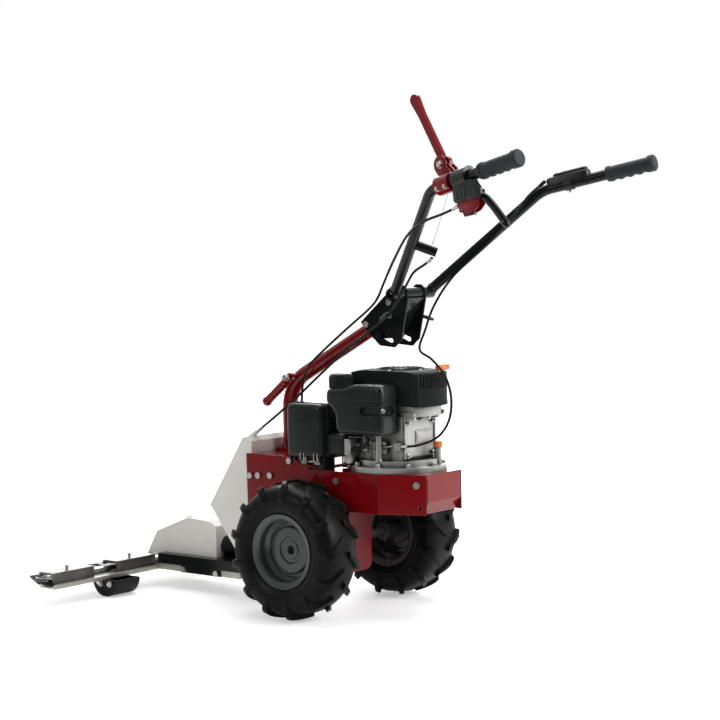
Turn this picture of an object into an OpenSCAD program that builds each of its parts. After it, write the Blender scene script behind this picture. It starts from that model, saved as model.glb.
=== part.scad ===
// Two-wheeled walking mower with a reciprocating cutter bar.
// +X is forward, +Y is left, +Z is up. The origin is on the ground under the axle.

/* [Wheels] */
// Gap between a side plate and the tyre beside it
wheel_gap = 15; // [11:1:31]
// Tyre diameter over the lugs
tyre_d = 332; // [310:1:345]
// Tyre width
tyre_w = 124; // [110:1:130]
// Height of the tread lugs over the carcass
lug_h = 13; // [8:1:16]
// Lugs on each half of the tread
lug_count = 13; // [8:1:16]
// Thickness of one lug along the tread
lug_t = 15; // [10:1:18]
// Rim diameter over its flanges
rim_d = 180; // [160:1:190]
// Rim width over its flanges
rim_w = 101; // [90:1:106]
// Axle diameter
axle_d = 22; // [18:1:25]
// Outside diameter of the wheel hub tube
hub_d = 40; // [36:1:44]

/* [Chassis] */
// Thickness of the folded sheet
sheet = 4; // [3:0.5:5]
// Width of the engine deck
deck_w = 236; // [220:1:240]
// Height of the top of the deck above the ground
deck_top = 349; // [340:1:360]
// Depth of the deck's folded sides
deck_h = 95; // [80:1:100]
// Reach of the deck in front of the axle
deck_nose = 40; // [30:1:50]
// Distance behind the axle at which the deck sides turn in
deck_bend = 192; // [180:1:200]
// Distance behind the axle of the deck's rear face
deck_back = 299; // [290:1:320]
// Width of the deck's rear face
deck_tail_w = 140; // [120:1:160]
// Height of the upper edge of the side plates above the ground
plate_top = 376; // [370:1:385]
// Forward reach of the side plates
plate_front = 220; // [216:1:228]
// Width of the gearbox
gear_w = 90; // [80:1:100]
// Reach of the gearbox behind the axle
gear_back = 41; // [36:1:50]
// Reach of the gearbox in front of the axle
gear_front = 150; // [140:1:160]
// Height of the gearbox floor above the ground
gear_low = 90; // [85:1:100]
// Wall of the gearbox
gear_wall = 8; // [6:1:10]
// Height of the front cover above the ground
cover_top = 418; // [405:1:430]
// Forward reach of the front cover
cover_nose = 350; // [330:1:362]

/* [Column] */
// Outside diameter of the steering column
column_d = 38; // [34:1:42]
// Wall of the column tube
column_wall = 3; // [2:0.5:4]
// Distance of the column in front of the axle
column_x = 178; // [170:1:186]
// Height at which the two legs of the column meet
column_knee = 542; // [530:1:555]
// Slope of the upper leg above the horizontal, in degrees
column_slope = 28.4; // [26:0.2:30]
// Length of the upper leg from the knee
column_arm = 326; // [315:1:335]
// Radius of the column bend
column_bend = 100; // [80:1:110]

/* [Handlebar] */
// Distance behind the axle of the handlebar pivot
pivot_back = 208; // [204:1:216]
// Height of the handlebar pivot
pivot_z = 772; // [766:1:780]
// Distance between the bracket plates' outer faces
bracket_w = 74; // [70:1:80]
// Radius of the bracket's arc slot about the pivot
slot_r = 116; // [110:1:120]
// Swing of the handlebar in its slot, in degrees
handle_swing = 18; // [10:1:20]
// Outside diameter of the handle tubes
handle_d = 26; // [22:1:28]
// Wall of the handle tubes
handle_wall = 2.5; // [2:0.5:4]
// Half the distance between the lower ends of the handle tubes
handle_foot = 66; // [60:1:70]
// Distance behind the axle of the handle bends
bend_back = 437; // [430:1:445]
// Half the distance between the handle bends
bend_half = 221; // [210:1:230]
// Height of the handle bends
bend_z = 1011; // [1000:1:1020]
// Distance behind the axle of the grip ends
grip_back = 713; // [700:1:720]
// Half the distance between the grip ends
grip_half = 280; // [270:1:290]
// Height of the grip ends
grip_z = 1070; // [1060:1:1080]
// Radius of the handle bends
handle_bend = 80; // [60:1:90]
// Grip diameter
grip_d = 36; // [32:1:40]
// Grip length
grip_len = 120; // [110:1:124]

/* [Engine] */
// Distance of the crankshaft behind the axle
crank_back = 164; // [160:1:170]
// Diameter of the engine's base flange
flange_d = 232; // [220:1:236]
// Length and width of the crankcase
case_w = 128; // [120:1:134]
// Height of the crankcase above its base
case_h = 105; // [100:1:110]
// Crankshaft diameter
crank_d = 25; // [20:1:28]
// Diameter of the cooling shroud
shroud_d = 240; // [230:1:250]
// Height of the cooling shroud
shroud_h = 80; // [76:1:88]
// Length of the fuel tank
tank_len = 170; // [160:1:180]
// Width of the fuel tank
tank_w = 66; // [60:1:70]
// Height of the fuel tank
tank_h = 120; // [100:1:124]
// Diameter of the fuel cap
cap_d = 54; // [46:1:58]
// Length of the air filter box
filter_len = 112; // [100:1:116]
// Width of the air filter box
filter_w = 76; // [70:1:80]
// Height of the air filter box
filter_h = 132; // [120:1:134]

/* [Drive] */
// Distance of the gearbox input shaft in front of the axle
input_x = 104; // [98:1:110]
// Pitch diameter of both belt pulleys
pulley_d = 80; // [70:1:84]
// Height of the belt above the ground
belt_z = 296; // [290:1:300]
// Height of the knife drive shaft above the ground
pto_z = 113; // [110:1:116]
// Diameter of the knife drive shaft
pto_d = 20; // [18:1:24]

/* [Cutter bar] */
// Length of the cutter bar
bar_len = 870; // [860:1:890]
// Distance of the finger bar's front edge in front of the axle
bar_x = 640; // [630:1:650]
// Depth of the finger bar
bar_w = 55; // [50:1:60]
// Thickness of the finger bar
bar_t = 10; // [8:1:12]
// Height of the finger bar's underside above the ground
bar_z = 44; // [42:1:48]
// Usual distance between fingers
finger_step = 50; // [48:1:50.8]
// Distance of the last finger from the end of the bar
finger_end = 35; // [30:1:40]
// Reach of a finger in front of the finger bar
finger_len = 75; // [70:1:78]
// Width of a finger
finger_w = 18; // [14:1:20]
// Thickness of the knife sections
knife_t = 3; // [2:0.5:4]
// Length of a hold-down
clip_len = 140; // [130:1:146]
// Distance between neighbouring hold-downs
clip_pitch = 220; // [216:1:224]
// Length of a skid along the bar
skid_len = 80; // [70:1:84]
// Half width of the bar carrier
carrier_half = 72; // [68:1:74]

/* [Cables] */
// Diameter of the sheathed control cables
cable_d = 6; // [4:0.5:7]
// Diameter of the bare lever wire
wire_d = 2; // [1.5:0.5:3]

/* [Hidden] */
$fn = 48;

paint_red = "#a8141c";
paint_black = "#1b1c1e";
paint_ivory = "#e6e1d6";
cast_grey = "#b4b6b8";
zinc = "#c9ccce";
galvanised = "#d9d6c4";
rim_grey = "#8a8d90";
rubber_black = "#1d1e20";
plastic_black = "#232427";
starter_orange = "#e0761a";

// Shared clearances: a running shaft or pushed-on sleeve, parts that pass each other, overrun of a cut;
// a tube bend is drawn a little thinner and laps its straights
run_fit = 0.05;
pass_gap = 0.6;
cut = 1;
bend_lap = 1;
bend_thin = 0.2;

// Common fasteners
bolt_d = 10;
bolt_head_d = 17;
bolt_head_h = 6;
screw_d = 6;
screw_head_d = 11;
screw_head_h = 5;

// Wheels
tyre_r = tyre_d / 2;
axle_z = tyre_r;
track = deck_w + (sheet + wheel_gap) * 2 + tyre_w;
wheel_y = track / 2;
rim_r = rim_d / 2;
rim_half = rim_w / 2;
seat_share = 0.86;
bead_share = 0.83;
cheek_shares = [[0.90, 0.885], [1.01, 0.93]];
seat_r = rim_r * seat_share;
carcass_r = tyre_r - lug_h;
bead_t = 9;
lug_angle = 38;
lug_inner_share = 0.12;
lug_foot_share = 0.80;
hub_out = 14;
hub_in = 62;
pin_d = 8;
pin_in = 48;
pin_over = 5;
// Rim section, across the tyre: shares of the rim radius and of its half width
rim_barrel_shares = [
  [1.0, 1.0], [1.0, 0.95], [0.90, 0.92], [0.86, 0.84], [0.86, 0.46], [0.76, 0.28], [0.76, -0.28],
  [0.86, -0.46], [0.86, -0.84], [0.90, -0.92], [1.0, -0.95], [1.0, -1.0], [0.88, -0.96], [0.82, -0.86],
  [0.82, -0.48], [0.72, -0.32], [0.72, 0.32], [0.82, 0.48], [0.82, 0.86], [0.88, 0.96]
];
rim_disc_shares = [
  [0.74, 0.20], [0.64, 0.20], [0.60, 0.34], [0.37, 0.34], [0.34, 0.24], [0.20, 0.24],
  [0.20, 0.14], [0.38, 0.14], [0.40, 0.24], [0.57, 0.24], [0.60, 0.10], [0.74, 0.10]
];
// Tyre section: shares of the height from bead to tread and of the half width
tyre_outer_shares = [[0.28, 0.93], [0.48, 1.0], [0.70, 0.98], [0.86, 0.90], [0.95, 0.76], [1.0, 0.40]];
tyre_inner_shares = [[0.28, 0.79], [0.48, 0.86], [0.68, 0.84], [0.80, 0.76], [0.87, 0.64], [0.90, 0.36]];
tread_shares = [[0.55, 1.0], [0.72, 1.0], [0.90, 0.99], [0.97, 0.90], [1.0, 0.55]];

// Deck
deck_half = deck_w / 2;
deck_low = deck_top - deck_h;
tail_half = deck_tail_w / 2;
fold_share = 0.68;
fold_z = deck_top - deck_h * fold_share;
lip_in = 18;
relief_w = 3;
deck_hole_d = 8;
deck_hole_share = 0.86;
deck_hole_up = 16;
crank_hole_d = 60;
deck_bolt_back = 67;
deck_bolt_down = 24;
tail_bolt_share = 0.80;
tail_bolt_down = 24;

// Side plates: the outline from the upper rear corner round by the belly
plate_out = deck_half + sheet;
plate_rear = 8;
plate_step = 75;
plate_rear_top = deck_top - 11;
plate_rear_mid = deck_top - 35;
plate_rear_low = deck_low - 14;
plate_low = 128;
plate_heel = 150;
plate_belly = 60;
plate_belly_z = 200;
side_bolts = [[77, plate_top - 10], [140, plate_top - 50], [179, plate_top - 52], [206, plate_top - 54]];

// Top plate and front cover
top_reach = 212;
slot_cut_w = 5;
slot_inset = 20;
cover_wall = 3;
cover_back = 206;
cover_brow = 30;
cover_face = 46;
cover_nose_z = 238;
cover_chin = 267;
cover_chin_z = 132;
ferrule_d = 12;
ferrule_h = 14;
clutch_ferrule = [[212, 88, 428], [230, 96, 413]];
drive_ferrule = [110, 44];
end_gap = 0.3;

// Gearbox
gear_top = deck_low - sheet * 2;
gear_round = 20;
gear_flange_t = deck_low - gear_top;
boss_d = 46;
boss_len = 14;

// Column
column_r = column_d / 2;
knee = [column_x, 0, column_knee];
column_dir = [-cos(column_slope), 0, sin(column_slope)];
column_side = [-sin(column_slope), 0, -cos(column_slope)];
column_end = knee + column_dir * column_arm;
base_flange = 54;
base_flange_t = 8;
gusset_h = 30;
gusset_t = 6;
shift_pin_d = 10;
shift_y = 34;
shift_pin = [column_x - column_r * 1.7, shift_y, column_knee + column_r * 1.1];
column_up = -column_side;
head_half = 22;
// Column head in side view: distances along the upper leg from its end, and above its axis
head_outline = [[-30, -24], [56, -24], [92, -4], [92, 30], [72, 30], [40, 24], [-30, 24]];
function at_column_end(b) = column_end + column_dir * b.x + column_up * b.y;
bracket_bolts = [for (b = [[-5, 4], [82, 18]]) at_column_end(b)];

// Handlebar bracket: plates beside the column head, slot about the pivot
pivot = [-pivot_back, 0, pivot_z];
bracket_t = 4;
bracket_y = bracket_w / 2 - bracket_t / 2;
cross_d = 28;
cross_half = handle_foot + cross_d / 2;
slot_w = 11;
lock_d = 10;
slot_front = 34;
// Bracket outline about the pivot, in shares of the slot radius
bracket_shares = [
  [1.02, -0.54], [0.98, -0.72], [0.58, -1.07], [0.20, -1.10], [0.02, -0.94], [-0.15, -0.14],
  [-0.14, 0.10], [-0.03, 0.18], [0.09, 0.18], [0.20, 0.10], [0.42, -0.03]
];
arm_t = 5;
arm_y = bracket_w / 2 - bracket_t - pass_gap - arm_t / 2;
arm_w = 40;
lock_pos = pivot + slot_r * [sin(slot_front), 0, -cos(slot_front)];
nut_h = 8;

// Handle tubes and the frame that follows the straight of the left grip
handle_r = handle_d / 2;
foot = [-pivot_back, handle_foot, pivot_z];
bend_pt = [-bend_back, bend_half, bend_z];
grip_end = [-grip_back, grip_half, grip_z];
grip_dir = (grip_end - bend_pt) / norm(grip_end - bend_pt);
grip_run = norm(grip_end - bend_pt);
grip_start = grip_run - grip_len;
grip_rib_h = 2;
grip_ribs = 9;
cap_rim_h = 14;
cap_rim_over = 3;

// Lever group, measured along the straight of the left grip
clamp_start = 88;
clamp_len = 44;
clamp_over = 9;
hanger_t = 18;
hanger_h = 46;
casing_len = 84;
casing_h = 44;
casing_w = 30;
casing_drop = 34;
lever_pin_d = 8;
squeeze_drop = 46;
squeeze_back = 152;
squeeze_len = 104;
squeeze_w = 16;
squeeze_t = 12;
squeeze_slope = 58;
catch_at = [98, -casing_drop - casing_h + 6];
catch_len = 52;
catch_w = 10;
catch_t = 8;
catch_pin_d = 5;
red_clamp_start = 30;
red_clamp_len = 46;
red_pivot_along = 26;
red_pivot_up = 50;
red_pivot_in = 30;
cheek_t = 4;
lever_t = 10;
lever_len = 191;
lever_w = 26;
lever_waist = 18;
lever_waist_share = 0.72;
lever_eye_d = 40;
lever_tail = 36;
lever_lean = 22;

// Cable stop on the left tube
stop_share = 0.50;
stop_dir = [-44, -33, -21] / norm([-44, -33, -21]);
stop_len = 60;
stop_d = 22;

// Throttle on the right tube
throttle_start = 16;
throttle_len = 112;
throttle_w = 36;
throttle_h = 12;
thumb_len = 62;
thumb_w = 20;
thumb_eye_share = 1.3;
thumb_t = 5;
thumb_pin_d = 8;
thumb_along = 36;

// Engine heights and places
crank = [-crank_back, 0];
crank_r = crank_d / 2;
sump_flange_h = 14;
sump_h = 28;
sump_wall = 9;
case_z = deck_top + sump_h;
case_wall = 7;
head_deck_h = 24;
head_deck_d = 210;
shroud_z = case_z + case_h + head_deck_h;
shroud_wall = 4;
shroud_flat = 58;
rib_count = 11;
rib_t = 3;
rib_deep = 5;
cylinder_d = 84;
cylinder_len = 84;
fin_count = 6;
fin_over = 8;
fin_t = 3;
muffler_len = 120;
muffler_w = 58;
muffler_h = 84;
muffler_gap = 16;
tank_front = 44;
tank_z = shroud_z - 66;
tank_y = max(shroud_flat, case_w / 2) + pass_gap;
tank_round = 22;
tank_step = 26;
cap_h = 32;
tank_shoulder = 12;
tank_shoulder_len = 58;
cap_neck_d = 40;
cap_neck_h = 8;
cap_in = 24;
filter_x = -30;
filter_y = 54;
filter_z = deck_top + sheet * 7;
filter_round = 16;
filter_foot = 20;
filter_foot_in = 6;
throttle_clamp = 18;
throttle_clamp_up = 26;
carb_len = 46;
carb_w = 44;
carb_h = 38;
intake_d = 30;
flywheel_h = 34;
fan_blades = 12;
blade_t = 4;
blade_h = 22;
stick_pos = [-252, -40];
stick_d = 18;
stick_tube_h = 26;
stick_cap_h = 14;
starter_in = 18;
starter_right = 44;
starter_pos = [crank.x - shroud_d / 2 + starter_in, -starter_right];
starter_d = 14;
starter_len = 40;
starter_stem_d = 8;
starter_stem_h = 8;

// Belt drive under the deck
belt_t = 6;
belt_w = 10;
pulley_r = pulley_d / 2;
pulley_flange = 9;
pulley_w = 18;
idler_d = 34;
idler_len = 90;
idler_pivot = [30, 76];
idler_gap = 10;
idler_bolt_d = 12;

// Knife drive
rocker_x = 505;
rocker_t = 8;
rocker_pivot_up = 45;
rocker_w = 26;
crank_disc_d = 54;
crank_disc_t = 10;
crank_throw = 14;
crank_pin_d = 10;
finger_count = round((bar_len - finger_end * 2) / finger_step) + 1;
finger_pitch = (bar_len - finger_end * 2) / (finger_count - 1);
knife_stroke = 25;
fork_play = 1.6;
fork_lug_w = 16;
fork_depth = 18;
case_half = 45;
case_start = 400;
case_end = 650;
case_crown_share = 0.40;
case_top = 184;
case_sheet = 4;
tube_d = 56;
tube_wall = 5;

// Carrier
carrier_start = 300;
tube_sink = 2;
saddle_over = 4;
carrier_z = pto_z - tube_d / 2 - sheet + tube_sink;
carrier_skirt = 22;
tongue = [376, 490];
tongue_edge = 12;
tongue_drop = 39;
bar_strip_h = 16;
bar_strip_t = 8;

// Fingers and knife, in height
ledger_z = bar_z + bar_t + sheet;
knife_slot = knife_t + pass_gap * 2;
lip_h = 8;
lip_start_share = 0.24;
slot_end_share = 0.82;
finger_taper_share = 0.50;
finger_point_share = 0.28;
back_w = 24;
back_t = 6;
back_x = bar_x - 18;
knife_tip_share = 0.78;
clip_back = 40;
clip_end = 8;
clip_lip_share = 0.6;
clip_w = 52;
clip_wall = 5;
clip_h = 28;
skid_sole_cut = 0.6;
skid_r = bar_z + skid_sole_cut;
skid_x = 590;
skid_wall = 4;
skid_bolt_half = 22;
skid_bolt_down = 9;

// Routes of the held cables
clutch_route = [
  [-357, 113, 857], [-330, 106, 843], [-290, 96, 824], [-258, 84, 793], [-230, 82, 757], [-192, 68, 722],
  [-120, 50, 682], [-40, 38, 636], [40, 36, 578], [110, 48, 518], [170, 70, 464], [212, 88, 428]
];
drive_route = [
  [-523, 239, 972], [-480, 230, 958], [-404, 214, 938], [-340, 186, 908], [-268, 140, 856],
    [-204, 100, 798],
  [-164, 72, 764], [-120, 50, 736], [-40, 38, 686], [30, 40, 634], [82, 38, 592], [104, 37, 545],
  [109, 37, 480], [110, 40, 430], [110, 44, 391]
];
throttle_route = [
  [-454.5, -210, 1033.5], [-420, -188, 998], [-392, -160, 948], [-336, -132, 884], [-268, -92, 812],
    [-228, -66, 742],
  [-206, -56, 680], [-206, -34, 636], [-262, -6, 616], [-314, 14, 582], [-340, 24, 532], [-342, 36, 478],
  [-318, 50, 438], [-272, 64, 418], [-224.5, 68, 412]
];
wire_route = [[-472, 195, 1027.5], [-420, 158, 956], [-360, 116, 889]];
cable_sides = 8;
cable_steps = 2;

// Directions and frames
function unit(v) = v / norm(v);
function square_to(d) = unit(cross(abs(d.z) < norm(d) * 0.9 ? [0, 0, 1] : [1, 0, 0], d));
function rows(o, x, y, z) = [
  [x.x, y.x, z.x, o.x], [x.y, y.y, z.y, o.y], [x.z, y.z, z.z, o.z], [0, 0, 0, 1]
];
function flat(p) = [p.x, p.z];
function frame_z(o, d) = let (z = unit(d), x = square_to(z)) rows(o, x, cross(z, x), z);
function frame_xz(o, d, up) = let (x = unit(d), y = unit(cross(up, x))) rows(o, x, y, cross(x, y));

// Left side as drawn, or its mirror image on the right
module on_side(left) {
  if (left) children();
  else mirror([0, 1, 0]) children();
}

// A round bar along Y, centred
module crossbar(d, h) {
  rotate([90, 0, 0]) cylinder(d = d, h = h, center = true);
}

// A solid rod between two points
module rod(p, q, d) {
  multmatrix(frame_z(p, q - p)) cylinder(d = d, h = norm(q - p));
}

// A hollow tube between two points
module pipe(p, q, d, wall) {
  multmatrix(frame_z(p, q - p)) difference() {
    cylinder(d = d, h = norm(q - p));
    translate([0, 0, -cut]) cylinder(d = d - wall * 2, h = norm(q - p) + cut * 2);
  }
}

// A round bar from a to c that bends at b, its ends lengthened by the given overrun
module bent_bar(a, b, c, bend_r, d, over) {
  u = unit(a - b);
  v = unit(c - b);
  turn = 180 - acos(u * v);
  tangent = bend_r * tan(turn / 2);
  centre = b + unit(u + v) * bend_r / cos(turn / 2);
  start = b + u * tangent;
  stop = b + v * tangent;
  rod(a + u * over, start - u * bend_lap, d);
  multmatrix(frame_xz(centre, start - centre, cross(start - centre, stop - centre)))
    rotate_extrude(angle = turn) translate([bend_r, 0]) circle(d = d - bend_thin);
  rod(stop - v * bend_lap, c + v * over, d);
}

// A hollow tube with one bend
module bent_pipe(a, b, c, bend_r, d, wall) {
  difference() {
    bent_bar(a, b, c, bend_r, d, 0);
    bent_bar(a, b, c, bend_r, d - wall * 2, cut);
  }
}

// A flat outline in X and Z, extruded evenly to both sides of Y = 0
module side_profile(points, width) {
  rotate([90, 0, 0]) linear_extrude(width, center = true) polygon(points);
}

// A rectangle with round corners, centred
module round_rect(w, h, r) {
  square([w - r * 2, h], center = true);
  square([w, h - r * 2], center = true);
  for (x = [-1, 1], y = [-1, 1]) translate([x * (w / 2 - r), y * (h / 2 - r)]) circle(r);
}

// A box centred in X and Y whose upright edges and side outline are both rounded
module moulded_box(l, w, h, r) {
  intersection() {
    linear_extrude(h) round_rect(l, w, r);
    translate([0, 0, h / 2]) rotate([90, 0, 0]) linear_extrude(w, center = true) round_rect(l, h, r);
  }
}

// A hexagon-headed bolt whose head sits on a face at p, with its shank going in along d
module bolt(p, d, shank_d, head_d, head_h, shank) {
  multmatrix(frame_z(p, d)) {
    translate([0, 0, -head_h]) cylinder(d = head_d, h = head_h, $fn = 6);
    translate([0, 0, -head_h / 2]) cylinder(d = shank_d, h = shank + head_h / 2);
  }
}

// A bent strip of sheet that follows an open outline on its right-hand side
function edge_normal(a, b) = let (d = unit(b - a)) [d.y, -d.x];
function mitre(p, i, t) = let (
  n = len(p),
  before = i > 0 ? edge_normal(p[i - 1], p[i]) : edge_normal(p[i], p[i + 1]),
  after = i < n - 1 ? edge_normal(p[i], p[i + 1]) : before,
  m = unit(before + after)
) p[i] + m * t / (m * after);
function strip(p, t) = concat(p, [for (i = [len(p) - 1:-1:0]) mitre(p, i, t)]);

// A smooth route through hand-set points and the round cable swept along it
function spline(a, b, c, d, t) =
  (b * 2 + (c - a) * t + (a * 2 - b * 5 + c * 4 - d) * t * t + (b * 3 - a - c * 3 + d) * t * t * t) / 2;
function pick(p, i) = p[max(0, min(len(p) - 1, i))];
function route(p, steps) = concat(
  [for (i = [0:len(p) - 2], s = [0:steps - 1])
    spline(pick(p, i - 1), p[i], p[i + 1], pick(p, i + 2), s / steps)],
  [p[len(p) - 1]]
);
function heading(p, i) = unit(pick(p, i + 1) - pick(p, i - 1));
function ring(p, i, r, n) = let (d = heading(p, i), x = square_to(d), y = cross(d, x))
  [for (k = [0:n - 1]) p[i] + (x * cos(360 * k / n) + y * sin(360 * k / n)) * r];
module cable(p, d, n) {
  q = route(p, cable_steps);
  m = len(q);
  points = concat([for (i = [0:m - 1]) each ring(q, i, d / 2, n)], [q[0], q[m - 1]]);
  sides = [for (i = [0:m - 2], k = [0:n - 1]) let (a = i * n + k, b = i * n + (k + 1) % n)
    each [[a, a + n, b], [b, a + n, b + n]]];
  first = [for (k = [0:n - 1]) [m * n, k, (k + 1) % n]];
  last = [for (k = [0:n - 1]) [m * n + 1, (m - 1) * n + (k + 1) % n, (m - 1) * n + k]];
  polyhedron(points, concat(sides, first, last));
}

// Wheels
function tyre_points(shares, r) = [for (s = shares) [seat_r + s[0] * (r - seat_r), s[1] * tyre_w / 2]];
function folded(half) = concat(half, [for (i = [len(half) - 1:-1:0]) [half[i].x, -half[i].y]]);

module at_wheel(left) {
  translate([0, left ? wheel_y : -wheel_y, axle_z]) rotate([left ? -90 : 90, 0, 0]) children();
}

module tyre_carcass() {
  bead = rim_half * bead_share;
  cheek = [for (s = cheek_shares) [s[0] * rim_r, s[1] * rim_half]];
  outer = folded(concat([[seat_r, bead]], cheek, tyre_points(tyre_outer_shares, carcass_r)));
  inner = folded(concat([[seat_r, bead - bead_t]], tyre_points(tyre_inner_shares, carcass_r)));
  rotate_extrude($fn = 96) polygon(concat(outer, [for (i = [len(inner) - 1:-1:0]) inner[i]]));
}

module tread_lugs() {
  reach = tyre_w / 2 * (1 - lug_inner_share) / cos(lug_angle);
  foot_r = carcass_r * lug_foot_share;
  intersection() {
    rotate_extrude($fn = 96) polygon(concat(
      [[seat_r + lug_h, tyre_w / 2]],
      [for (s = tread_shares) [seat_r + s[0] * (tyre_r - seat_r), s[1] * tyre_w / 2]],
      [for (i = [len(tread_shares) - 1:-1:0])
        [seat_r + tread_shares[i][0] * (tyre_r - seat_r), -tread_shares[i][1] * tyre_w / 2]],
      [[seat_r + lug_h, -tyre_w / 2]]
    ));
    for (k = [0:lug_count - 1], half = [-1, 1])
      rotate([0, 0, 360 / lug_count * (k + (half > 0 ? 0 : 0.5))])
        translate([foot_r, 0, half * tyre_w / 2 * lug_inner_share])
          rotate([half * lug_angle, 0, 0])
            translate([0, -lug_t / 2, half > 0 ? 0 : -reach - lug_t])
              cube([tyre_r - foot_r + cut, lug_t, reach + lug_t]);
  }
}

module tyre() {
  color(rubber_black) {
    tyre_carcass();
    difference() {
      tread_lugs();
      rotate_extrude($fn = 96) polygon(folded(concat(
        [[seat_r, rim_half * bead_share - bead_t / 2]],
        [for (i = [0:len(tyre_outer_shares) - 1])
          (tyre_points(tyre_outer_shares, carcass_r)[i] + tyre_points(tyre_inner_shares,
            carcass_r)[i]) / 2]
      )));
    }
  }
}

module tyre_left() { at_wheel(true) tyre(); }
module tyre_right() { at_wheel(false) tyre(); }

module rim() {
  color(rim_grey) difference() {
    union() {
      rotate_extrude($fn = 96) polygon([for (s = rim_barrel_shares) [s[0] * rim_r, s[1] * rim_half]]);
      rotate_extrude($fn = 96) polygon([for (s = rim_disc_shares) [s[0] * rim_r, s[1] * rim_half]]);
      translate([0, 0, -hub_in]) cylinder(d = hub_d, h = hub_in + hub_out);
    }
    translate([0, 0, -hub_in - cut]) cylinder(d = axle_d, h = hub_in + hub_out + cut * 2);
    translate([0, 0, -pin_in]) crossbar(pin_d, hub_d + cut);
  }
}

module rim_left() { at_wheel(true) rim(); }
module rim_right() { at_wheel(false) rim(); }

// The axle carries a cross pin through each hub
module axle() {
  color(zinc) {
    translate([0, 0, axle_z]) crossbar(axle_d, track);
    for (left = [true, false])
      at_wheel(left) translate([0, 0, -pin_in]) crossbar(pin_d, hub_d + pin_over * 2);
  }
}

// Engine deck: a pan of folded sheet, open at the bottom and the front
deck_outline = [
  [deck_nose, deck_half], [-deck_bend, deck_half], [-deck_back, tail_half], [-deck_back, -tail_half],
  [-deck_bend, -deck_half], [deck_nose, -deck_half]
];
chamfer_dir = unit([deck_bend - deck_back, tail_half - deck_half]);
chamfer_out = [chamfer_dir.y, -chamfer_dir.x, 0];
function on_chamfer(share, z) = let (p = [-deck_bend, deck_half] + chamfer_dir * share
  * norm([deck_back - deck_bend, deck_half - tail_half])) [p.x, p.y, z];

module engine_deck() {
  inner = [for (i = [0:len(deck_outline) - 1]) mitre(deck_outline, i, -sheet)];
  hole = on_chamfer(deck_hole_share, deck_low + deck_hole_up);
  tail_bolt = on_chamfer(tail_bolt_share, deck_top - tail_bolt_down);
  color(paint_red) {
    difference() {
      translate([0, 0, deck_low]) linear_extrude(deck_h) polygon(deck_outline);
      translate([0, 0, deck_low - cut]) linear_extrude(deck_h - sheet + cut) polygon(concat(
        [[deck_nose + cut, deck_half - sheet]], [for (i = [1:4]) inner[i]],
        [[deck_nose + cut, -deck_half + sheet]]
      ));
      translate([crank.x, crank.y, deck_low]) cylinder(d = crank_hole_d, h = deck_h + cut);
      translate([-deck_back - cut, -tail_half, deck_low - cut])
        cube([sheet + cut * 2, deck_tail_w, fold_z - deck_low + cut]);
      for (y = [-1, 1])
        translate([-deck_back - cut, y * (tail_half - relief_w) - relief_w / 2, deck_low - cut])
          cube([sheet + cut * 2, relief_w, deck_h - sheet * 2 + cut]);
      for (left = [true, false]) on_side(left) {
        rod(hole - chamfer_out * sheet * 2, hole + chamfer_out * sheet, deck_hole_d);
        rod(tail_bolt - chamfer_out * sheet * 2, tail_bolt + chamfer_out * sheet, bolt_d);
        translate([-deck_bolt_back, deck_half, deck_top - deck_bolt_down])
          crossbar(bolt_d, sheet * 3);
      }
    }
    side_profile([
      [-deck_back, fold_z], [-deck_back + sheet, fold_z],
      [-deck_back + sheet + lip_in, deck_low], [-deck_back + lip_in, deck_low]
    ], deck_tail_w - relief_w * 4);
  }
}

// Side plates of the front frame, drilled for their bolts
plate_outline = [
  [plate_step, plate_top], [-plate_rear + sheet, plate_rear_top], [-plate_rear, plate_rear_mid],
  [-plate_rear, plate_rear_low], [plate_belly, plate_belly_z], [plate_heel, plate_low],
  [plate_front - sheet, plate_low], [plate_front, plate_top]
];

module side_plate() {
  color(paint_red) difference() {
    translate([0, deck_half + sheet / 2, 0]) side_profile(plate_outline, sheet);
    for (b = side_bolts)
      translate([b.x, deck_half, b.y]) crossbar(bolt_d, sheet * 3);
  }
}

module side_plate_left() { side_plate(); }
module side_plate_right() { on_side(false) side_plate(); }

// Top plate: flat under the column, then sloping down to the deck
module top_plate() {
  color(paint_red) difference() {
    side_profile(strip([[top_reach, plate_top - sheet], [plate_step, plate_top - sheet],
      [0, deck_top]], sheet), deck_w);
    translate([plate_step / 2, 0, deck_top])
      cube([slot_cut_w, deck_w - slot_inset * 2, plate_top - deck_top + sheet * 2], center = true);
  }
  color(paint_red) translate([drive_ferrule.x, drive_ferrule.y, plate_top - sheet])
    cylinder(d = ferrule_d, h = ferrule_h + sheet);
}

// Front cover: one bent sheet between the side plates, with a cable ferrule on its brow
cover_outline = [
  [cover_back, plate_top], [cover_back, cover_top - sheet * 3], [cover_back + sheet * 3, cover_top],
  [cover_back + cover_brow, cover_top - sheet], [cover_back + cover_face, plate_top + sheet * 3],
  [cover_nose, cover_nose_z], [cover_chin, cover_chin_z]
];

module front_cover() {
  way = unit(clutch_ferrule[1] - clutch_ferrule[0]);
  color(paint_ivory) {
    difference() {
      union() {
        side_profile(strip(cover_outline, cover_wall), deck_w);
        for (y = [-1, 1]) translate([0, y * (deck_half - cover_wall / 2), 0]) side_profile(concat(
          cover_outline, [[top_reach + pass_gap, cover_chin_z], [top_reach + pass_gap, plate_top]]
        ), cover_wall);
      }
      translate([0, 0, pto_z]) rotate([0, 90, 0]) cylinder(d = tube_d + sheet * 2, h = cover_nose);
    }
    rod(clutch_ferrule[0] + way * end_gap, clutch_ferrule[1], ferrule_d);
  }
}

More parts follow.
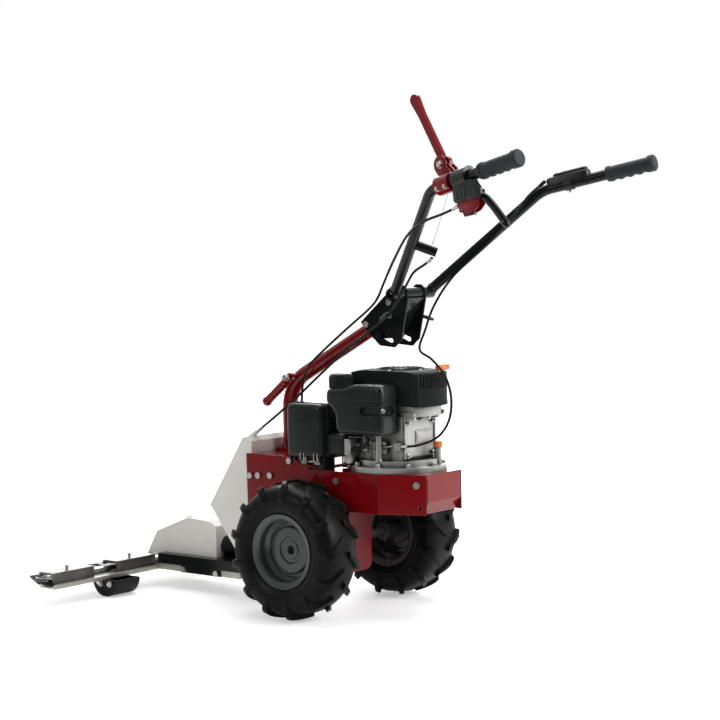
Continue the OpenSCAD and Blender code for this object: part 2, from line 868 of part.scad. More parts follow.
// Gearbox housing with its axle bosses and the flange that joins the side plates
module gearbox_housing() {
  h = gear_top - gear_low;
  color(paint_red) difference() {
    union() {
      translate([-gear_back, 0, gear_low + h / 2]) rotate([90, 0, 90])
        linear_extrude(gear_back + gear_front) round_rect(gear_w, h, gear_round);
      translate([-gear_back, -deck_half, gear_top - gear_flange_t / 2])
        cube([gear_back + gear_front, deck_w, gear_flange_t * 1.5]);
      translate([0, 0, axle_z]) crossbar(boss_d, gear_w + boss_len * 2);
      translate([idler_pivot.x, idler_pivot.y, gear_top])
        cylinder(d = idler_bolt_d, h = belt_z - pulley_w / 2 - gear_top);
    }
    translate([-gear_back + gear_wall, 0, gear_low + h / 2]) rotate([90, 0, 90])
      linear_extrude(gear_back + gear_front - gear_wall * 2)
        round_rect(gear_w - gear_wall * 2, h - gear_wall * 2, gear_round - gear_wall);
    translate([0, 0, axle_z]) rotate([90, 0, 0])
      cylinder(r = axle_d / 2 + run_fit, h = gear_w + boss_len * 2 + cut, center = true);
    translate([input_x, 0, gear_top - gear_wall * 2])
      cylinder(r = pto_d / 2 + run_fit, h = gear_wall * 4);
    translate([gear_front - gear_wall * 2, 0, pto_z]) rotate([0, 90, 0])
      cylinder(r = pto_d / 2 + run_fit, h = gear_wall * 4);
  }
}

// Column: bent tube on a gusseted base and mounting channel, with the bracket head at its top
module column() {
  color(paint_red) difference() {
    union() {
      bent_pipe([column_x, 0, plate_top], knee, column_end, column_bend, column_d, column_wall);
      translate([column_x - base_flange / 2, -base_flange / 2, plate_top]) difference() {
        cube([base_flange, base_flange, base_flange_t]);
        translate([base_flange / 2, base_flange / 2, -cut])
          cylinder(d = column_d - column_wall * 2, h = base_flange_t + cut * 2);
      }
      for (turn = [0, 90, 180, 270])
        translate([column_x, 0, plate_top + base_flange_t]) rotate([0, 0, turn])
          rotate([90, 0, 0]) linear_extrude(gusset_t, center = true) polygon([
            [column_r - column_wall / 2, 0], [base_flange / 2, 0],
            [column_r - column_wall / 2, gusset_h]
          ]);
      side_profile([for (b = head_outline) flat(at_column_end(b))], head_half * 2);
      rod([shift_pin.x, 0, shift_pin.z], shift_pin + [0, shift_y / 2, 0], shift_pin_d);
    }
    for (p = bracket_bolts)
      rod([p.x, -head_half - cut, p.z], [p.x, head_half + cut, p.z], bolt_d);
  }
}

// Bracket plates beside the column head: pivot bore above, arc slot below
module slot_arc(w) {
  for (a = [slot_front, slot_front - handle_swing])
    translate([slot_r * sin(a), -slot_r * cos(a)]) circle(d = w);
  rotate([0, 0, slot_front - handle_swing - 90]) difference() {
    intersection() {
      circle(r = slot_r + w / 2);
      polygon([
        [0, 0], [slot_r * 2, 0], [slot_r * 2 * cos(handle_swing), slot_r * 2 * sin(handle_swing)]
      ]);
    }
    circle(r = slot_r - w / 2);
  }
}

module bracket_plates() {
  color(paint_black) for (side = [-1, 1])
    translate([-pivot_back, side * bracket_y, pivot_z]) rotate([90, 0, 0])
      linear_extrude(bracket_t, center = true) difference() {
        polygon([for (b = bracket_shares) b * slot_r]);
        circle(r = cross_d / 2 + run_fit);
        slot_arc(slot_w);
        for (p = bracket_bolts) translate(flat(p - pivot)) circle(d = bolt_d);
      }
}

// Bolts of the deck, side plates and bracket
module chassis_bolts() {
  tail_bolt = on_chamfer(tail_bolt_share, deck_top - tail_bolt_down);
  color(zinc) for (left = [true, false]) on_side(left) {
    for (b = side_bolts)
      bolt([b.x, plate_out, b.y], [0, -1, 0], bolt_d, bolt_head_d, bolt_head_h, sheet);
    bolt([-deck_bolt_back, deck_half, deck_top - deck_bolt_down], [0, -1, 0], bolt_d, bolt_head_d,
      bolt_head_h, sheet);
    bolt(tail_bolt, -chamfer_out, bolt_d, bolt_head_d, bolt_head_h, sheet);
    for (p = bracket_bolts)
      bolt([p.x, bracket_w / 2, p.z], [0, -1, 0], bolt_d, bolt_head_d, bolt_head_h, bracket_w / 2);
  }
}

// Engine base: a round flange bolted to the deck with a hollow sump above it
module engine_sump() {
  color(cast_grey) translate([crank.x, crank.y, deck_top]) difference() {
    union() {
      cylinder(d = flange_d, h = sump_flange_h);
      cylinder(d = flange_d - sump_wall * 4, h = sump_h);
      translate([stick_pos.x - crank.x, stick_pos.y, 0])
        cylinder(d = stick_d, h = sump_h + stick_tube_h);
    }
    translate([0, 0, sump_wall]) cylinder(d = flange_d - sump_wall * 8, h = sump_h);
    translate([0, 0, -cut]) cylinder(r = crank_r + run_fit, h = sump_h);
    translate([stick_pos.x - crank.x, stick_pos.y, sump_h])
      cylinder(d = starter_stem_d + pass_gap, h = stick_tube_h + cut);
  }
}

// Crankcase with its forward cylinder, cooling fins and the deck under the shroud
module crankcase() {
  z = case_z;
  cylinder_z = z + case_h / 2;
  color(cast_grey) difference() {
    union() {
      translate([crank.x, 0, z]) moulded_box(case_w, case_w, case_h, sump_wall);
      translate([crank.x - case_w / 2 + sheet, case_w / 2 - cut, z + throttle_clamp_up])
        cube([throttle_clamp, throttle_clamp / 2 + cut, throttle_clamp]);
      translate([crank.x, 0, z + case_h]) cylinder(d = head_deck_d, h = head_deck_h);
      translate([crank.x + case_w / 2 - case_wall, 0, cylinder_z]) rotate([0, 90, 0])
        cylinder(d = cylinder_d, h = cylinder_len + case_wall);
      for (k = [1:fin_count])
        translate([crank.x + case_w / 2 + cylinder_len * k / fin_count - fin_t, 0, cylinder_z])
          rotate([0, 90, 0]) cylinder(d = cylinder_d + fin_over * 2, h = fin_t);
    }
    translate([crank.x, 0, z - cut])
      moulded_box(case_w - case_wall * 2, case_w - case_wall * 2, case_h - case_wall + cut, sump_wall);
    translate([crank.x, 0, z]) cylinder(r = crank_r + run_fit, h = case_h * 2);
    translate([crank.x, 0, cylinder_z]) rotate([0, 90, 0])
      cylinder(d = cylinder_d - case_wall * 3, h = case_w / 2 + cylinder_len - case_wall);
    translate([crank.x - head_deck_d, shroud_flat, z + case_h - cut])
      cube([head_deck_d * 2, head_deck_d, head_deck_h + cut * 2]);
  }
}

// Muffler on the right of the cylinder, carried by its exhaust stub
module muffler() {
  y = cylinder_d / 2 + fin_over + muffler_gap;
  x = crank.x + case_w / 2 + cylinder_len / 2;
  color(rim_grey) {
    translate([x, -y - muffler_w / 2, case_z + case_h / 2 - muffler_h / 2])
      moulded_box(muffler_len, muffler_w, muffler_h, sump_wall);
    rod([x, -y - cut, case_z + case_h / 2], [x, -cylinder_d / 2 - fin_over, case_z + case_h / 2],
      intake_d);
  }
}

// Carburettor between the crankcase and the air filter
module carburettor() {
  x = filter_x - carb_len / 2 - sheet;
  y = case_w / 2;
  z = case_z + sheet * 3;
  color(cast_grey) {
    translate([x - carb_len, y, z]) cube([carb_len, carb_w, carb_h]);
    translate([x - carb_len / 2, y + carb_w / 2, z + carb_h / 2]) rotate([0, 90, 0])
      cylinder(d = intake_d, h = filter_x - x + carb_len / 2);
    translate([x - carb_len / 2, y + carb_w / 2, z - sheet * 2]) cylinder(d = intake_d, h = sheet * 3);
  }
}

// Air filter box beside the column, standing on its ribbed foot
module air_filter_box() {
  color(plastic_black) {
    translate([filter_x + filter_len / 2, filter_y + filter_w / 2, filter_z])
      moulded_box(filter_len, filter_w, filter_h, filter_round);
    translate([filter_x + filter_foot_in, filter_y + filter_round, deck_top])
      cube([filter_foot, filter_w - filter_round * 2, filter_z - deck_top + filter_round]);
  }
}

// Fuel tank on the left, with a stepped lower front corner and a low shoulder for the filler neck
module fuel_tank() {
  color(plastic_black) difference() {
    translate([-tank_front - tank_len / 2, tank_y + tank_w / 2, tank_z])
      moulded_box(tank_len, tank_w, tank_h, tank_round);
    translate([-tank_front - tank_step, tank_y - cut, tank_z - cut])
      cube([tank_step + cut, tank_w + cut * 2, tank_step + cut]);
    difference() {
      translate([-tank_front - tank_shoulder_len, tank_y - cut, tank_z + tank_h - tank_shoulder])
        cube([tank_shoulder_len + cut, tank_w + cut * 2, tank_shoulder + cut]);
      translate([-tank_front - cap_in, tank_y + tank_w / 2, tank_z])
        cylinder(d = cap_neck_d, h = tank_h - tank_shoulder + cap_neck_h);
    }
  }
}

// Fuel cap: a cup over the filler neck, with a knurled rim
module fuel_cap() {
  z = tank_z + tank_h - tank_shoulder;
  color(plastic_black) translate([-tank_front - cap_in, tank_y + tank_w / 2, z + pass_gap / 2])
    difference() {
    union() {
      cylinder(d = cap_d, h = cap_h);
      for (k = [0:fan_blades * 2 - 1]) rotate([0, 0, 180 / fan_blades * k])
        translate([cap_d / 2, 0, 0]) cylinder(d = blade_t, h = cap_h - blade_t);
    }
    translate([0, 0, -cut]) cylinder(r = cap_neck_d / 2 + run_fit, h = cap_neck_h + cut);
  }
}

// Cooling shroud: a round bell, flat beside the tank, with slots behind
module cooling_shroud() {
  color(plastic_black) translate([crank.x, crank.y, shroud_z]) difference() {
    cylinder(d = shroud_d, h = shroud_h);
    translate([0, 0, -cut]) cylinder(d = shroud_d - shroud_wall * 2, h = shroud_h - shroud_wall + cut);
    translate([-shroud_d, shroud_flat, -cut]) cube([shroud_d * 2, shroud_d, shroud_h + cut * 2]);
    for (k = [0:rib_count - 1]) rotate([0, 0, 150 + 70 * k / (rib_count - 1)])
      translate([shroud_d / 2 - rib_deep, -rib_t / 2, shroud_h / 2])
        cube([rib_deep + cut, rib_t, shroud_h / 2 - shroud_wall * 2]);
  }
  color(plastic_black) translate([crank.x, crank.y, shroud_z]) intersection() {
    cylinder(d = shroud_d, h = shroud_h);
    translate([-shroud_d / 2, shroud_flat - shroud_wall, 0]) cube([shroud_d, shroud_wall, shroud_h]);
  }
}

// Rotating parts of the engine
module crankshaft() {
  color(zinc) translate([crank.x, crank.y, belt_z - pulley_w])
    cylinder(d = crank_d, h = shroud_z + shroud_h / 2 - belt_z + pulley_w);
}

module flywheel() {
  z = shroud_z + pass_gap * 5;
  color(cast_grey) translate([crank.x, crank.y, z]) difference() {
    union() {
      cylinder(r = shroud_flat - shroud_wall - pass_gap * 4, h = flywheel_h - blade_h / 2);
      for (k = [0:fan_blades - 1]) rotate([0, 0, 360 / fan_blades * k])
        translate([crank_d, -blade_t / 2, 0])
          cube([shroud_flat - shroud_wall - crank_d - pass_gap * 5, blade_t, flywheel_h]);
    }
    translate([0, 0, -cut]) cylinder(d = crank_d, h = flywheel_h + cut * 2);
  }
}

// A grooved pulley centred on the belt plane
module pulley(bore) {
  difference() {
    rotate_extrude() polygon([
      [0, -pulley_w / 2], [pulley_r + pulley_flange, -pulley_w / 2],
      [pulley_r + pulley_flange, -belt_w / 2 - pass_gap],
        [pulley_r - belt_t / 2, -belt_w / 2 - pass_gap],
      [pulley_r - belt_t / 2, belt_w / 2 + pass_gap], [pulley_r + pulley_flange, belt_w / 2 + pass_gap],
      [pulley_r + pulley_flange, pulley_w / 2], [0, pulley_w / 2]
    ]);
    cylinder(d = bore, h = pulley_w + cut, center = true);
  }
}

module drive_pulley() {
  color(cast_grey) translate([crank.x, crank.y, belt_z]) pulley(crank_d);
}

module input_shaft() {
  color(zinc) {
    translate([input_x, 0, gear_top - gear_wall * 3])
      cylinder(d = pto_d, h = belt_z + pulley_w - gear_top + gear_wall * 3);
    translate([input_x, 0, belt_z]) pulley(pto_d);
  }
}

// Belt: a flat loop round both pulleys
module belt_loop(r) {
  for (x = [crank.x, input_x]) translate([x, 0]) circle(r);
  translate([crank.x, -r]) square([input_x - crank.x, r * 2]);
}

module drive_belt() {
  color(rubber_black) translate([0, 0, belt_z - belt_w / 2]) linear_extrude(belt_w) difference() {
    belt_loop(pulley_r + belt_t / 2);
    belt_loop(pulley_r - belt_t / 2 + pass_gap / 2);
  }
}

// Idler arm: hinged on the gearbox flange, its roller beside the belt
module idler_arm() {
  y = pulley_r + belt_t / 2 + idler_gap + idler_d / 2;
  tip = [idler_pivot.x - idler_len, y];
  low = belt_z - pulley_w / 2;
  color(zinc) {
    translate([idler_pivot.x, idler_pivot.y, deck_low + pass_gap]) difference() {
      cylinder(d = idler_bolt_d * 2, h = low - deck_low - pass_gap + belt_t);
      translate([0, 0, -cut]) cylinder(r = idler_bolt_d / 2 + run_fit, h = pulley_w * 4);
    }
    translate([0, 0, low - belt_t]) linear_extrude(belt_t) difference() {
      union() {
        polygon([
          idler_pivot + [0, -idler_bolt_d / 2], idler_pivot + [0, idler_bolt_d / 2],
          tip + [0, idler_bolt_d / 2], tip + [0, -idler_bolt_d / 2]
        ]);
        translate(tip) circle(d = idler_bolt_d * 1.5);
      }
      translate(idler_pivot) circle(r = idler_bolt_d / 2 + run_fit);
    }
    translate([tip.x, tip.y, low]) cylinder(d = idler_d, h = pulley_w);
  }
}

// Knife drive: shaft with a crank disc, rocker, and the hood over them
module pto_shaft() {
  disc_x = rocker_x - crank_disc_t - crank_disc_t;
  start = gear_front - gear_wall * 2;
  color(zinc) translate([0, 0, pto_z]) rotate([0, 90, 0]) {
    translate([0, 0, start]) cylinder(d = pto_d, h = disc_x - start);
    translate([0, 0, disc_x]) cylinder(d = crank_disc_d, h = crank_disc_t);
    translate([crank_throw, 0, disc_x]) cylinder(d = crank_pin_d, h = rocker_x - disc_x - pass_gap);
  }
}

lug_z = ledger_z + knife_slot + back_t;
rocker_top = pto_z + rocker_pivot_up;
rocker_arm = rocker_top - lug_z - fork_depth / 2;

module knife_rocker() {
  fork_half = fork_lug_w / 2 + fork_play;
  color(zinc) translate([rocker_x + rocker_t / 2, 0, 0]) rotate([90, 0, 90])
    linear_extrude(rocker_t, center = true) difference() {
      union() {
        translate([0, rocker_top]) circle(d = rocker_w);
        translate([-rocker_w / 2, lug_z + fork_depth])
          square([rocker_w, rocker_arm - fork_depth / 2]);
        translate([-fork_half - fork_play * 3, lug_z + fork_play * 2])
          square([fork_half * 2 + fork_play * 6, fork_depth * 1.5]);
      }
      translate([0, rocker_top]) circle(r = lever_pin_d / 2 + run_fit);
      translate([-crank_pin_d / 2 - run_fit, pto_z - crank_throw - crank_pin_d])
        square([crank_pin_d + run_fit * 2, (crank_throw + crank_pin_d) * 2]);
      translate([-fork_half, lug_z - cut]) square([fork_half * 2, fork_depth + cut]);
    }
}

case_outline = [
  [case_start, carrier_z + sheet], [case_start, case_top - sheet * 4],
  [case_start + sheet * 6, case_top - sheet],
  [case_start + (case_end - case_start) * case_crown_share, case_top],
  [case_end - sheet * 9, case_top - sheet * 11], [case_end, ledger_z + knife_slot + back_t + clip_wall * 2]
];

case_side = concat(case_outline, [
  [bar_x - bar_w + pass_gap, case_outline[5].y], [bar_x - bar_w + pass_gap, carrier_z + sheet]
]);

module knife_drive_case() {
  color(paint_ivory) difference() {
    union() {
      side_profile(strip(case_outline, case_sheet), case_half * 2);
      for (y = [-1, 1]) translate([0, y * (case_half - case_sheet / 2), 0])
        side_profile(case_side, case_sheet);
      rod([rocker_x + rocker_t + pass_gap, 0, rocker_top], [rocker_x + rocker_t * 4, 0, rocker_top],
        rocker_w);
      translate([rocker_x + rocker_t * 2, -rocker_w / 3, rocker_top])
        cube([rocker_t * 2, rocker_w * 2 / 3, case_top - rocker_top - case_sheet / 2]);
      rod([rocker_x, 0, rocker_top], [rocker_x + rocker_t * 2, 0, rocker_top], lever_pin_d);
    }
    rod([case_start - cut, 0, pto_z], [case_start + case_sheet + cut, 0, pto_z], tube_d);
  }
}

// Bar carrier: tube round the knife drive shaft, top plate, skirts and upright saddles
module bar_carrier() {
  end = bar_x - bar_w;
  color(paint_black) difference() {
    union() {
      pipe([gear_front, 0, pto_z], [case_start + case_sheet, 0, pto_z], tube_d, tube_wall);
      translate([carrier_start, -carrier_half, carrier_z])
        cube([end - carrier_start, carrier_half * 2, sheet]);
      for (y = [-1, 1]) {
        translate([carrier_start, y * (carrier_half - sheet / 2) - sheet / 2,
          carrier_z - carrier_skirt])
          cube([end - carrier_start, sheet, carrier_skirt + sheet]);
        translate([tongue[0] - tongue_edge, y * (carrier_half - sheet / 2) - sheet / 2,
          carrier_z - tongue_drop])
          cube([tongue[1] - tongue[0] + tongue_edge * 2, sheet, tongue_drop]);
      }
      for (x = [carrier_start, case_start - sheet * 4]) translate([x, -tube_d / 2 - saddle_over, carrier_z])
        cube([sheet, tube_d + saddle_over * 2, tube_d / 2]);
    }
    rod([gear_front - cut, 0, pto_z], [case_start + case_sheet + cut, 0, pto_z], tube_d - tube_wall * 2);
    for (x = tongue) translate([x, 0, bar_z + bar_strip_h / 2]) crossbar(bolt_d, carrier_half * 3);
    translate([rocker_x - rocker_t * 4, -case_half + case_sheet, carrier_z - cut])
      cube([end - rocker_x + rocker_t * 4 + cut, (case_half - case_sheet) * 2, sheet + cut * 2]);
  }
}

// Zinc-plated bars that tie the carrier to the finger bar
module carrier_bars() {
  color(galvanised) for (y = [-1, 1])
    translate([carrier_start, y * (carrier_half - sheet - bar_strip_t / 2) - bar_strip_t / 2, bar_z])
      difference() {
        cube([bar_x - bar_w - carrier_start, bar_strip_t, carrier_z - bar_z]);
        for (x = tongue) translate([x - carrier_start, bar_strip_t / 2, bar_strip_h / 2])
          crossbar(bolt_d, bar_strip_t + cut);
      }
}

// Finger bar: the full-width backbone
module finger_bar() {
  color(galvanised) translate([bar_x - bar_w, -bar_len / 2, bar_z]) cube([bar_w, bar_len, bar_t]);
}

function finger_y(k) = (k - (finger_count - 1) / 2) * finger_pitch;

// Fingers: pointed guards with a slot that the knife runs in
module finger() {
  tip = bar_x + finger_len;
  lip = bar_x + finger_len * lip_start_share;
  slot_end = bar_x + finger_len * slot_end_share;
  top = ledger_z + knife_slot;
  intersection() {
    side_profile([
      [bar_x, bar_z], [bar_x + finger_len * finger_taper_share, bar_z], [tip, ledger_z], [tip, top],
      [bar_x + finger_len * finger_taper_share, top + lip_h], [lip, top + lip_h / 2], [lip, top],
      [slot_end, top], [slot_end, ledger_z], [bar_x, ledger_z]
    ], finger_w + cut);
    translate([0, 0, bar_z - cut]) linear_extrude(top + lip_h - bar_z + cut * 2) polygon([
      [bar_x, -finger_w / 2], [bar_x + finger_len * finger_taper_share, -finger_w / 2],
      [tip, -finger_w / 2 * finger_point_share], [tip, finger_w / 2 * finger_point_share],
      [bar_x + finger_len * finger_taper_share, finger_w / 2], [bar_x, finger_w / 2]
    ]);
  }
}

module fingers() {
  color(cast_grey) for (k = [0:finger_count - 1]) translate([0, finger_y(k), 0]) finger();
}

// Knife: flat back, triangular sections and the head that the rocker drives
module knife() {
  low = ledger_z + pass_gap;
  tip = bar_x + finger_len * knife_tip_share;
  color(zinc) {
    translate([back_x, -bar_len / 2 + knife_stroke, low + knife_t])
      cube([back_w, bar_len - knife_stroke * 2, back_t]);
    translate([0, 0, low]) linear_extrude(knife_t) for (k = [0:finger_count - 2])
      translate([0, finger_y(k) + finger_pitch / 2]) polygon([
        [back_x, -finger_pitch / 2], [back_x + back_w, -finger_pitch / 2],
        [tip, -finger_w / 4], [tip, finger_w / 4],
        [back_x + back_w, finger_pitch / 2], [back_x, finger_pitch / 2]
      ]);
    translate([rocker_x - rocker_t, -fork_lug_w, low + knife_t])
      cube([back_x - rocker_x + rocker_t + cut, fork_lug_w * 2, back_t]);
    translate([rocker_x - rocker_t, -fork_lug_w / 2, low + knife_t])
      cube([rocker_t - fork_play, fork_lug_w, back_t + fork_depth]);
    rod([rocker_x - rocker_t / 2, 0, lug_z + fork_depth / 2],
      [rocker_x + rocker_t * 1.5, 0, lug_z + fork_depth / 2], fork_lug_w);
  }
}

// Hold-downs: channels over the knife back, four along the bar
clip_ys = [for (s = [-1, 1], n = [0, 1]) s * (bar_len / 2 - clip_end - clip_len / 2 - n * clip_pitch)];

module hold_downs() {
  x = bar_x - clip_back;
  z = bar_z + bar_t;
  color(zinc) for (y = clip_ys) translate([0, y, 0]) difference() {
    side_profile([
      [x, z], [x, z + clip_h], [x + clip_w, z + clip_h], [x + clip_w, z + clip_h * clip_lip_share],
      [x + clip_w - clip_wall, z + clip_h * clip_lip_share], [x + clip_w - clip_wall, z + clip_h - clip_wall],
      [x + clip_wall, z + clip_h - clip_wall], [x + clip_wall, z]
    ], clip_len);
    translate([x + clip_w / 2, 0, z + clip_h]) cylinder(d = screw_d, h = clip_wall * 4, center = true);
  }
}

// Screws of the hold-downs, skids and carrier
module bar_screws() {
  x = bar_x - clip_back + clip_w / 2;
  top = bar_z + bar_t + clip_h;
  color(zinc) {
    for (y = clip_ys)
      bolt([x, y, top + screw_head_h], [0, 0, -1], screw_d, screw_head_d, screw_head_h,
        clip_wall + screw_head_h);
    for (s = [-1, 1], dx = [-1, 1])
      bolt([skid_x + dx * skid_bolt_half, s * (clip_pitch + skid_len) / 2 + s * clip_pitch / 2,
        bar_z - skid_bolt_down],
        [0, -s, 0], screw_d, screw_head_d, screw_head_h, skid_wall);
    for (s = [-1, 1], x = tongue)
      bolt([x, s * carrier_half, bar_z + bar_strip_h / 2], [0, -s, 0], bolt_d, bolt_head_d,
        bolt_head_h, sheet + bar_strip_t);
  }
}

// Skids: half-round troughs with a flat worn sole
module skid() {
  color(paint_black) translate([skid_x, clip_pitch, bar_z]) difference() {
    rotate([90, 0, 0]) cylinder(r = skid_r, h = skid_len, center = true, $fn = 96);
    rotate([90, 0, 0]) cylinder(r = skid_r - skid_wall, h = skid_len - skid_wall * 2, center = true,
      $fn = 96);
    translate([-skid_r - cut, -skid_len, 0]) cube([(skid_r + cut) * 2, skid_len * 2, skid_r + cut]);
    translate([-skid_r, -skid_len, -bar_z - skid_r]) cube([skid_r * 2, skid_len * 2, skid_r]);
    for (dx = [-1, 1]) translate([dx * skid_bolt_half, skid_len / 2, -skid_bolt_down])
      crossbar(screw_d, skid_wall * 3);
  }
}

module skids() {
  skid();
  on_side(false) skid();
}

// Handlebar hinge: cross tube through the bracket plates, lock arms, web and lock bolt
module handle_hinge() {
  d = unit(lock_pos - pivot);
  back = [d.z, 0, -d.x];
  color(paint_black) difference() {
    union() {
      rod([-pivot_back, -cross_half, pivot_z], [-pivot_back, cross_half, pivot_z], cross_d);
      for (y = [-1, 1]) translate([0, y * arm_y, 0]) side_profile([
        flat(pivot - back * arm_w / 4), flat(pivot + back * arm_w / 2),
          flat(lock_pos + back * arm_w / 2),
        flat(lock_pos + d * lock_d + back * lock_d / 2), flat(lock_pos - back * lock_d)
      ], arm_t);
      side_profile([
        flat(pivot + back * arm_w / 2), flat(lock_pos + back * arm_w / 2),
        flat(lock_pos + back * (arm_w / 2 - arm_t)), flat(pivot + back * (arm_w / 2 - arm_t))
      ], arm_y * 2);
      rod(lock_pos - [0, bracket_w / 2 + nut_h, 0], lock_pos + [0, bracket_w / 2 + nut_h, 0], lock_d);
      for (y = [-1, 1]) translate([lock_pos.x, y * (bracket_w / 2 + pass_gap + nut_h / 2), lock_pos.z])
        rotate([90, 0, 0]) cylinder(d = bolt_head_d, h = nut_h, center = true, $fn = 6);
    }
    rod([-pivot_back, -cross_half - cut, pivot_z], [-pivot_back, cross_half + cut, pivot_z],
      cross_d - handle_wall * 4);
  }
}

module handle_tube() {
  color(paint_black) difference() {
    bent_pipe(foot, bend_pt, grip_end, handle_bend, handle_d, handle_wall);
    translate([-pivot_back, 0, pivot_z]) crossbar(cross_d, cross_half * 2);
  }
}

module handle_tube_left() { handle_tube(); }
module handle_tube_right() { on_side(false) handle_tube(); }

// Along the straight of the left grip: x runs back along the tube, y to the right, z up
module along_grip() {
  multmatrix(frame_xz(bend_pt, grip_dir, [0, 0, 1])) children();
}

// Rubber grip: a sleeve with rings, closed by a rim at its end
module grip() {
  step = (grip_len - cap_rim_h) / grip_ribs;
  color(rubber_black) along_grip() translate([grip_start, 0, 0]) rotate([0, 90, 0]) rotate_extrude()
    polygon(concat(
    [[handle_r + run_fit, 0]],
    [for (k = [0:grip_ribs - 1], p = [[0, 0], [0.2, 1], [0.6, 1], [0.8, 0]])
      [grip_d / 2 - grip_rib_h + p[1] * grip_rib_h, step * (k + p[0])]],
    [[grip_d / 2, grip_len - cap_rim_h], [grip_d / 2 + cap_rim_over, grip_len - cap_rim_h],
      [grip_d / 2 + cap_rim_over, grip_len], [0, grip_len + handle_wall], [0, grip_len],
        [handle_r + run_fit, grip_len]]
  ));
}

module grip_left() { grip(); }
module grip_right() { on_side(false) grip(); }

// Cable stop: a short welded barrel that points in and back from the left tube
module cable_stop() {
  at = foot + (bend_pt - foot) * stop_share;
  color(paint_black) difference() {
    rod(at, at + stop_dir * stop_len, stop_d);
    multmatrix(frame_z(at - (bend_pt - foot), bend_pt - foot))
      cylinder(d = handle_d, h = norm(bend_pt - foot) * 2);
    translate(at + stop_dir * (stop_len - stop_d / 2))
      cylinder(d = cable_d + pass_gap, h = stop_d * 3, center = true);
  }
}

// Throttle housing on the right tube, and its thumb lever
module on_throttle() {
  on_side(false) along_grip() translate([throttle_start, 0, handle_r]) children();
}

module throttle_housing() {
  color(plastic_black) difference() {
    union() {
      on_throttle() translate([throttle_len / 2, 0, 0]) {
        linear_extrude(throttle_h) round_rect(throttle_len, throttle_w, throttle_w / 2 - cut);
        translate([0, 0, -handle_r]) rotate([0, 90, 0])
          cylinder(d = handle_d + clamp_over * 2, h = throttle_w, center = true);
      }
    }
    on_side(false) along_grip() rotate([0, 90, 0]) cylinder(d = handle_d, h = grip_run);
    on_throttle() translate([thumb_along, 0, throttle_h / 2])
      cylinder(r = thumb_pin_d / 2 + run_fit, h = throttle_h);
  }
}

module throttle_lever() {
  color(plastic_black) on_throttle() translate([thumb_along, 0, 0]) {
    translate([0, 0, throttle_h / 2 + pass_gap]) cylinder(d = thumb_pin_d, h = throttle_h / 2);
    translate([0, 0, throttle_h + pass_gap / 2]) linear_extrude(thumb_t) {
      circle(d = thumb_w * thumb_eye_share);
      translate([0, -thumb_w / 2]) square([thumb_len, thumb_w]);
      translate([thumb_len, 0]) circle(d = thumb_w);
    }
  }
}

// Red bracket on the left tube that holds the long lever between two cheeks
module lever_bracket() {
  color(paint_red) along_grip() difference() {
    union() {
      translate([red_clamp_start, 0, 0]) rotate([0, 90, 0])
        cylinder(d = handle_d + clamp_over * 2, h = red_clamp_len);
      for (side = [-1, 1])
        translate([0, red_pivot_in + side * (lever_t / 2 + pass_gap + cheek_t / 2), 0]) side_profile([
          [red_clamp_start, -handle_r], [red_clamp_start + red_clamp_len, -handle_r],
          [red_clamp_start + red_clamp_len, handle_r],
            [red_pivot_along + lever_eye_d / 3, red_pivot_up + sheet],
          [red_pivot_along - lever_eye_d / 3, red_pivot_up + sheet],
            [red_pivot_along - lever_eye_d / 3, red_pivot_up - sheet]
        ], cheek_t);
      translate([red_clamp_start + red_clamp_len - cheek_t, 0, -handle_r])
        cube([cheek_t, red_pivot_in + lever_t / 2 + cheek_t, handle_d]);
    }
    translate([0, 0, 0]) rotate([0, 90, 0]) cylinder(d = handle_d, h = grip_run);
    translate([red_pivot_along, red_pivot_in, red_pivot_up]) rotate([90, 0, 0])
      cylinder(r = lever_pin_d / 2 + run_fit, h = lever_t * 4, center = true);
  }
}

// Long red lever: pivot eye, waisted shaft and a paddle end; a short tail pulls the wire
module blade_lever() {
  color(paint_red) along_grip() translate([red_pivot_along, red_pivot_in, red_pivot_up])
    rotate([0, -lever_lean, 0]) {
    rotate([90, 0, 0]) {
      linear_extrude(lever_t, center = true) {
        circle(d = lever_eye_d);
        polygon([
          [-lever_waist / 2, 0], [lever_waist / 2, 0], [lever_waist / 2, lever_len * lever_waist_share],
          [lever_w / 2, lever_len - lever_w / 2], [-lever_w / 2, lever_len - lever_w / 2],
          [-lever_waist / 2, lever_len * lever_waist_share]
        ]);
        translate([0, lever_len - lever_w / 2]) circle(d = lever_w);
        translate([-lever_waist / 2, -lever_tail]) square([lever_waist, lever_tail]);
        translate([0, -lever_tail]) circle(d = lever_waist);
      }
      cylinder(d = lever_pin_d, h = lever_t + pass_gap * 2 + cheek_t * 2, center = true);
    }
  }
}

// Black clamp by the grip with a red casing hung under it
module lever_clamp() {
  color(plastic_black) along_grip() difference() {
    union() {
      translate([clamp_start, 0, 0]) rotate([0, 90, 0])
        cylinder(d = handle_d + clamp_over * 2, h = clamp_len);
      translate([clamp_start, -hanger_t / 2, -hanger_h]) cube([clamp_len, hanger_t, hanger_h]);
    }
    rotate([0, 90, 0]) cylinder(d = handle_d, h = grip_run);
  }
}

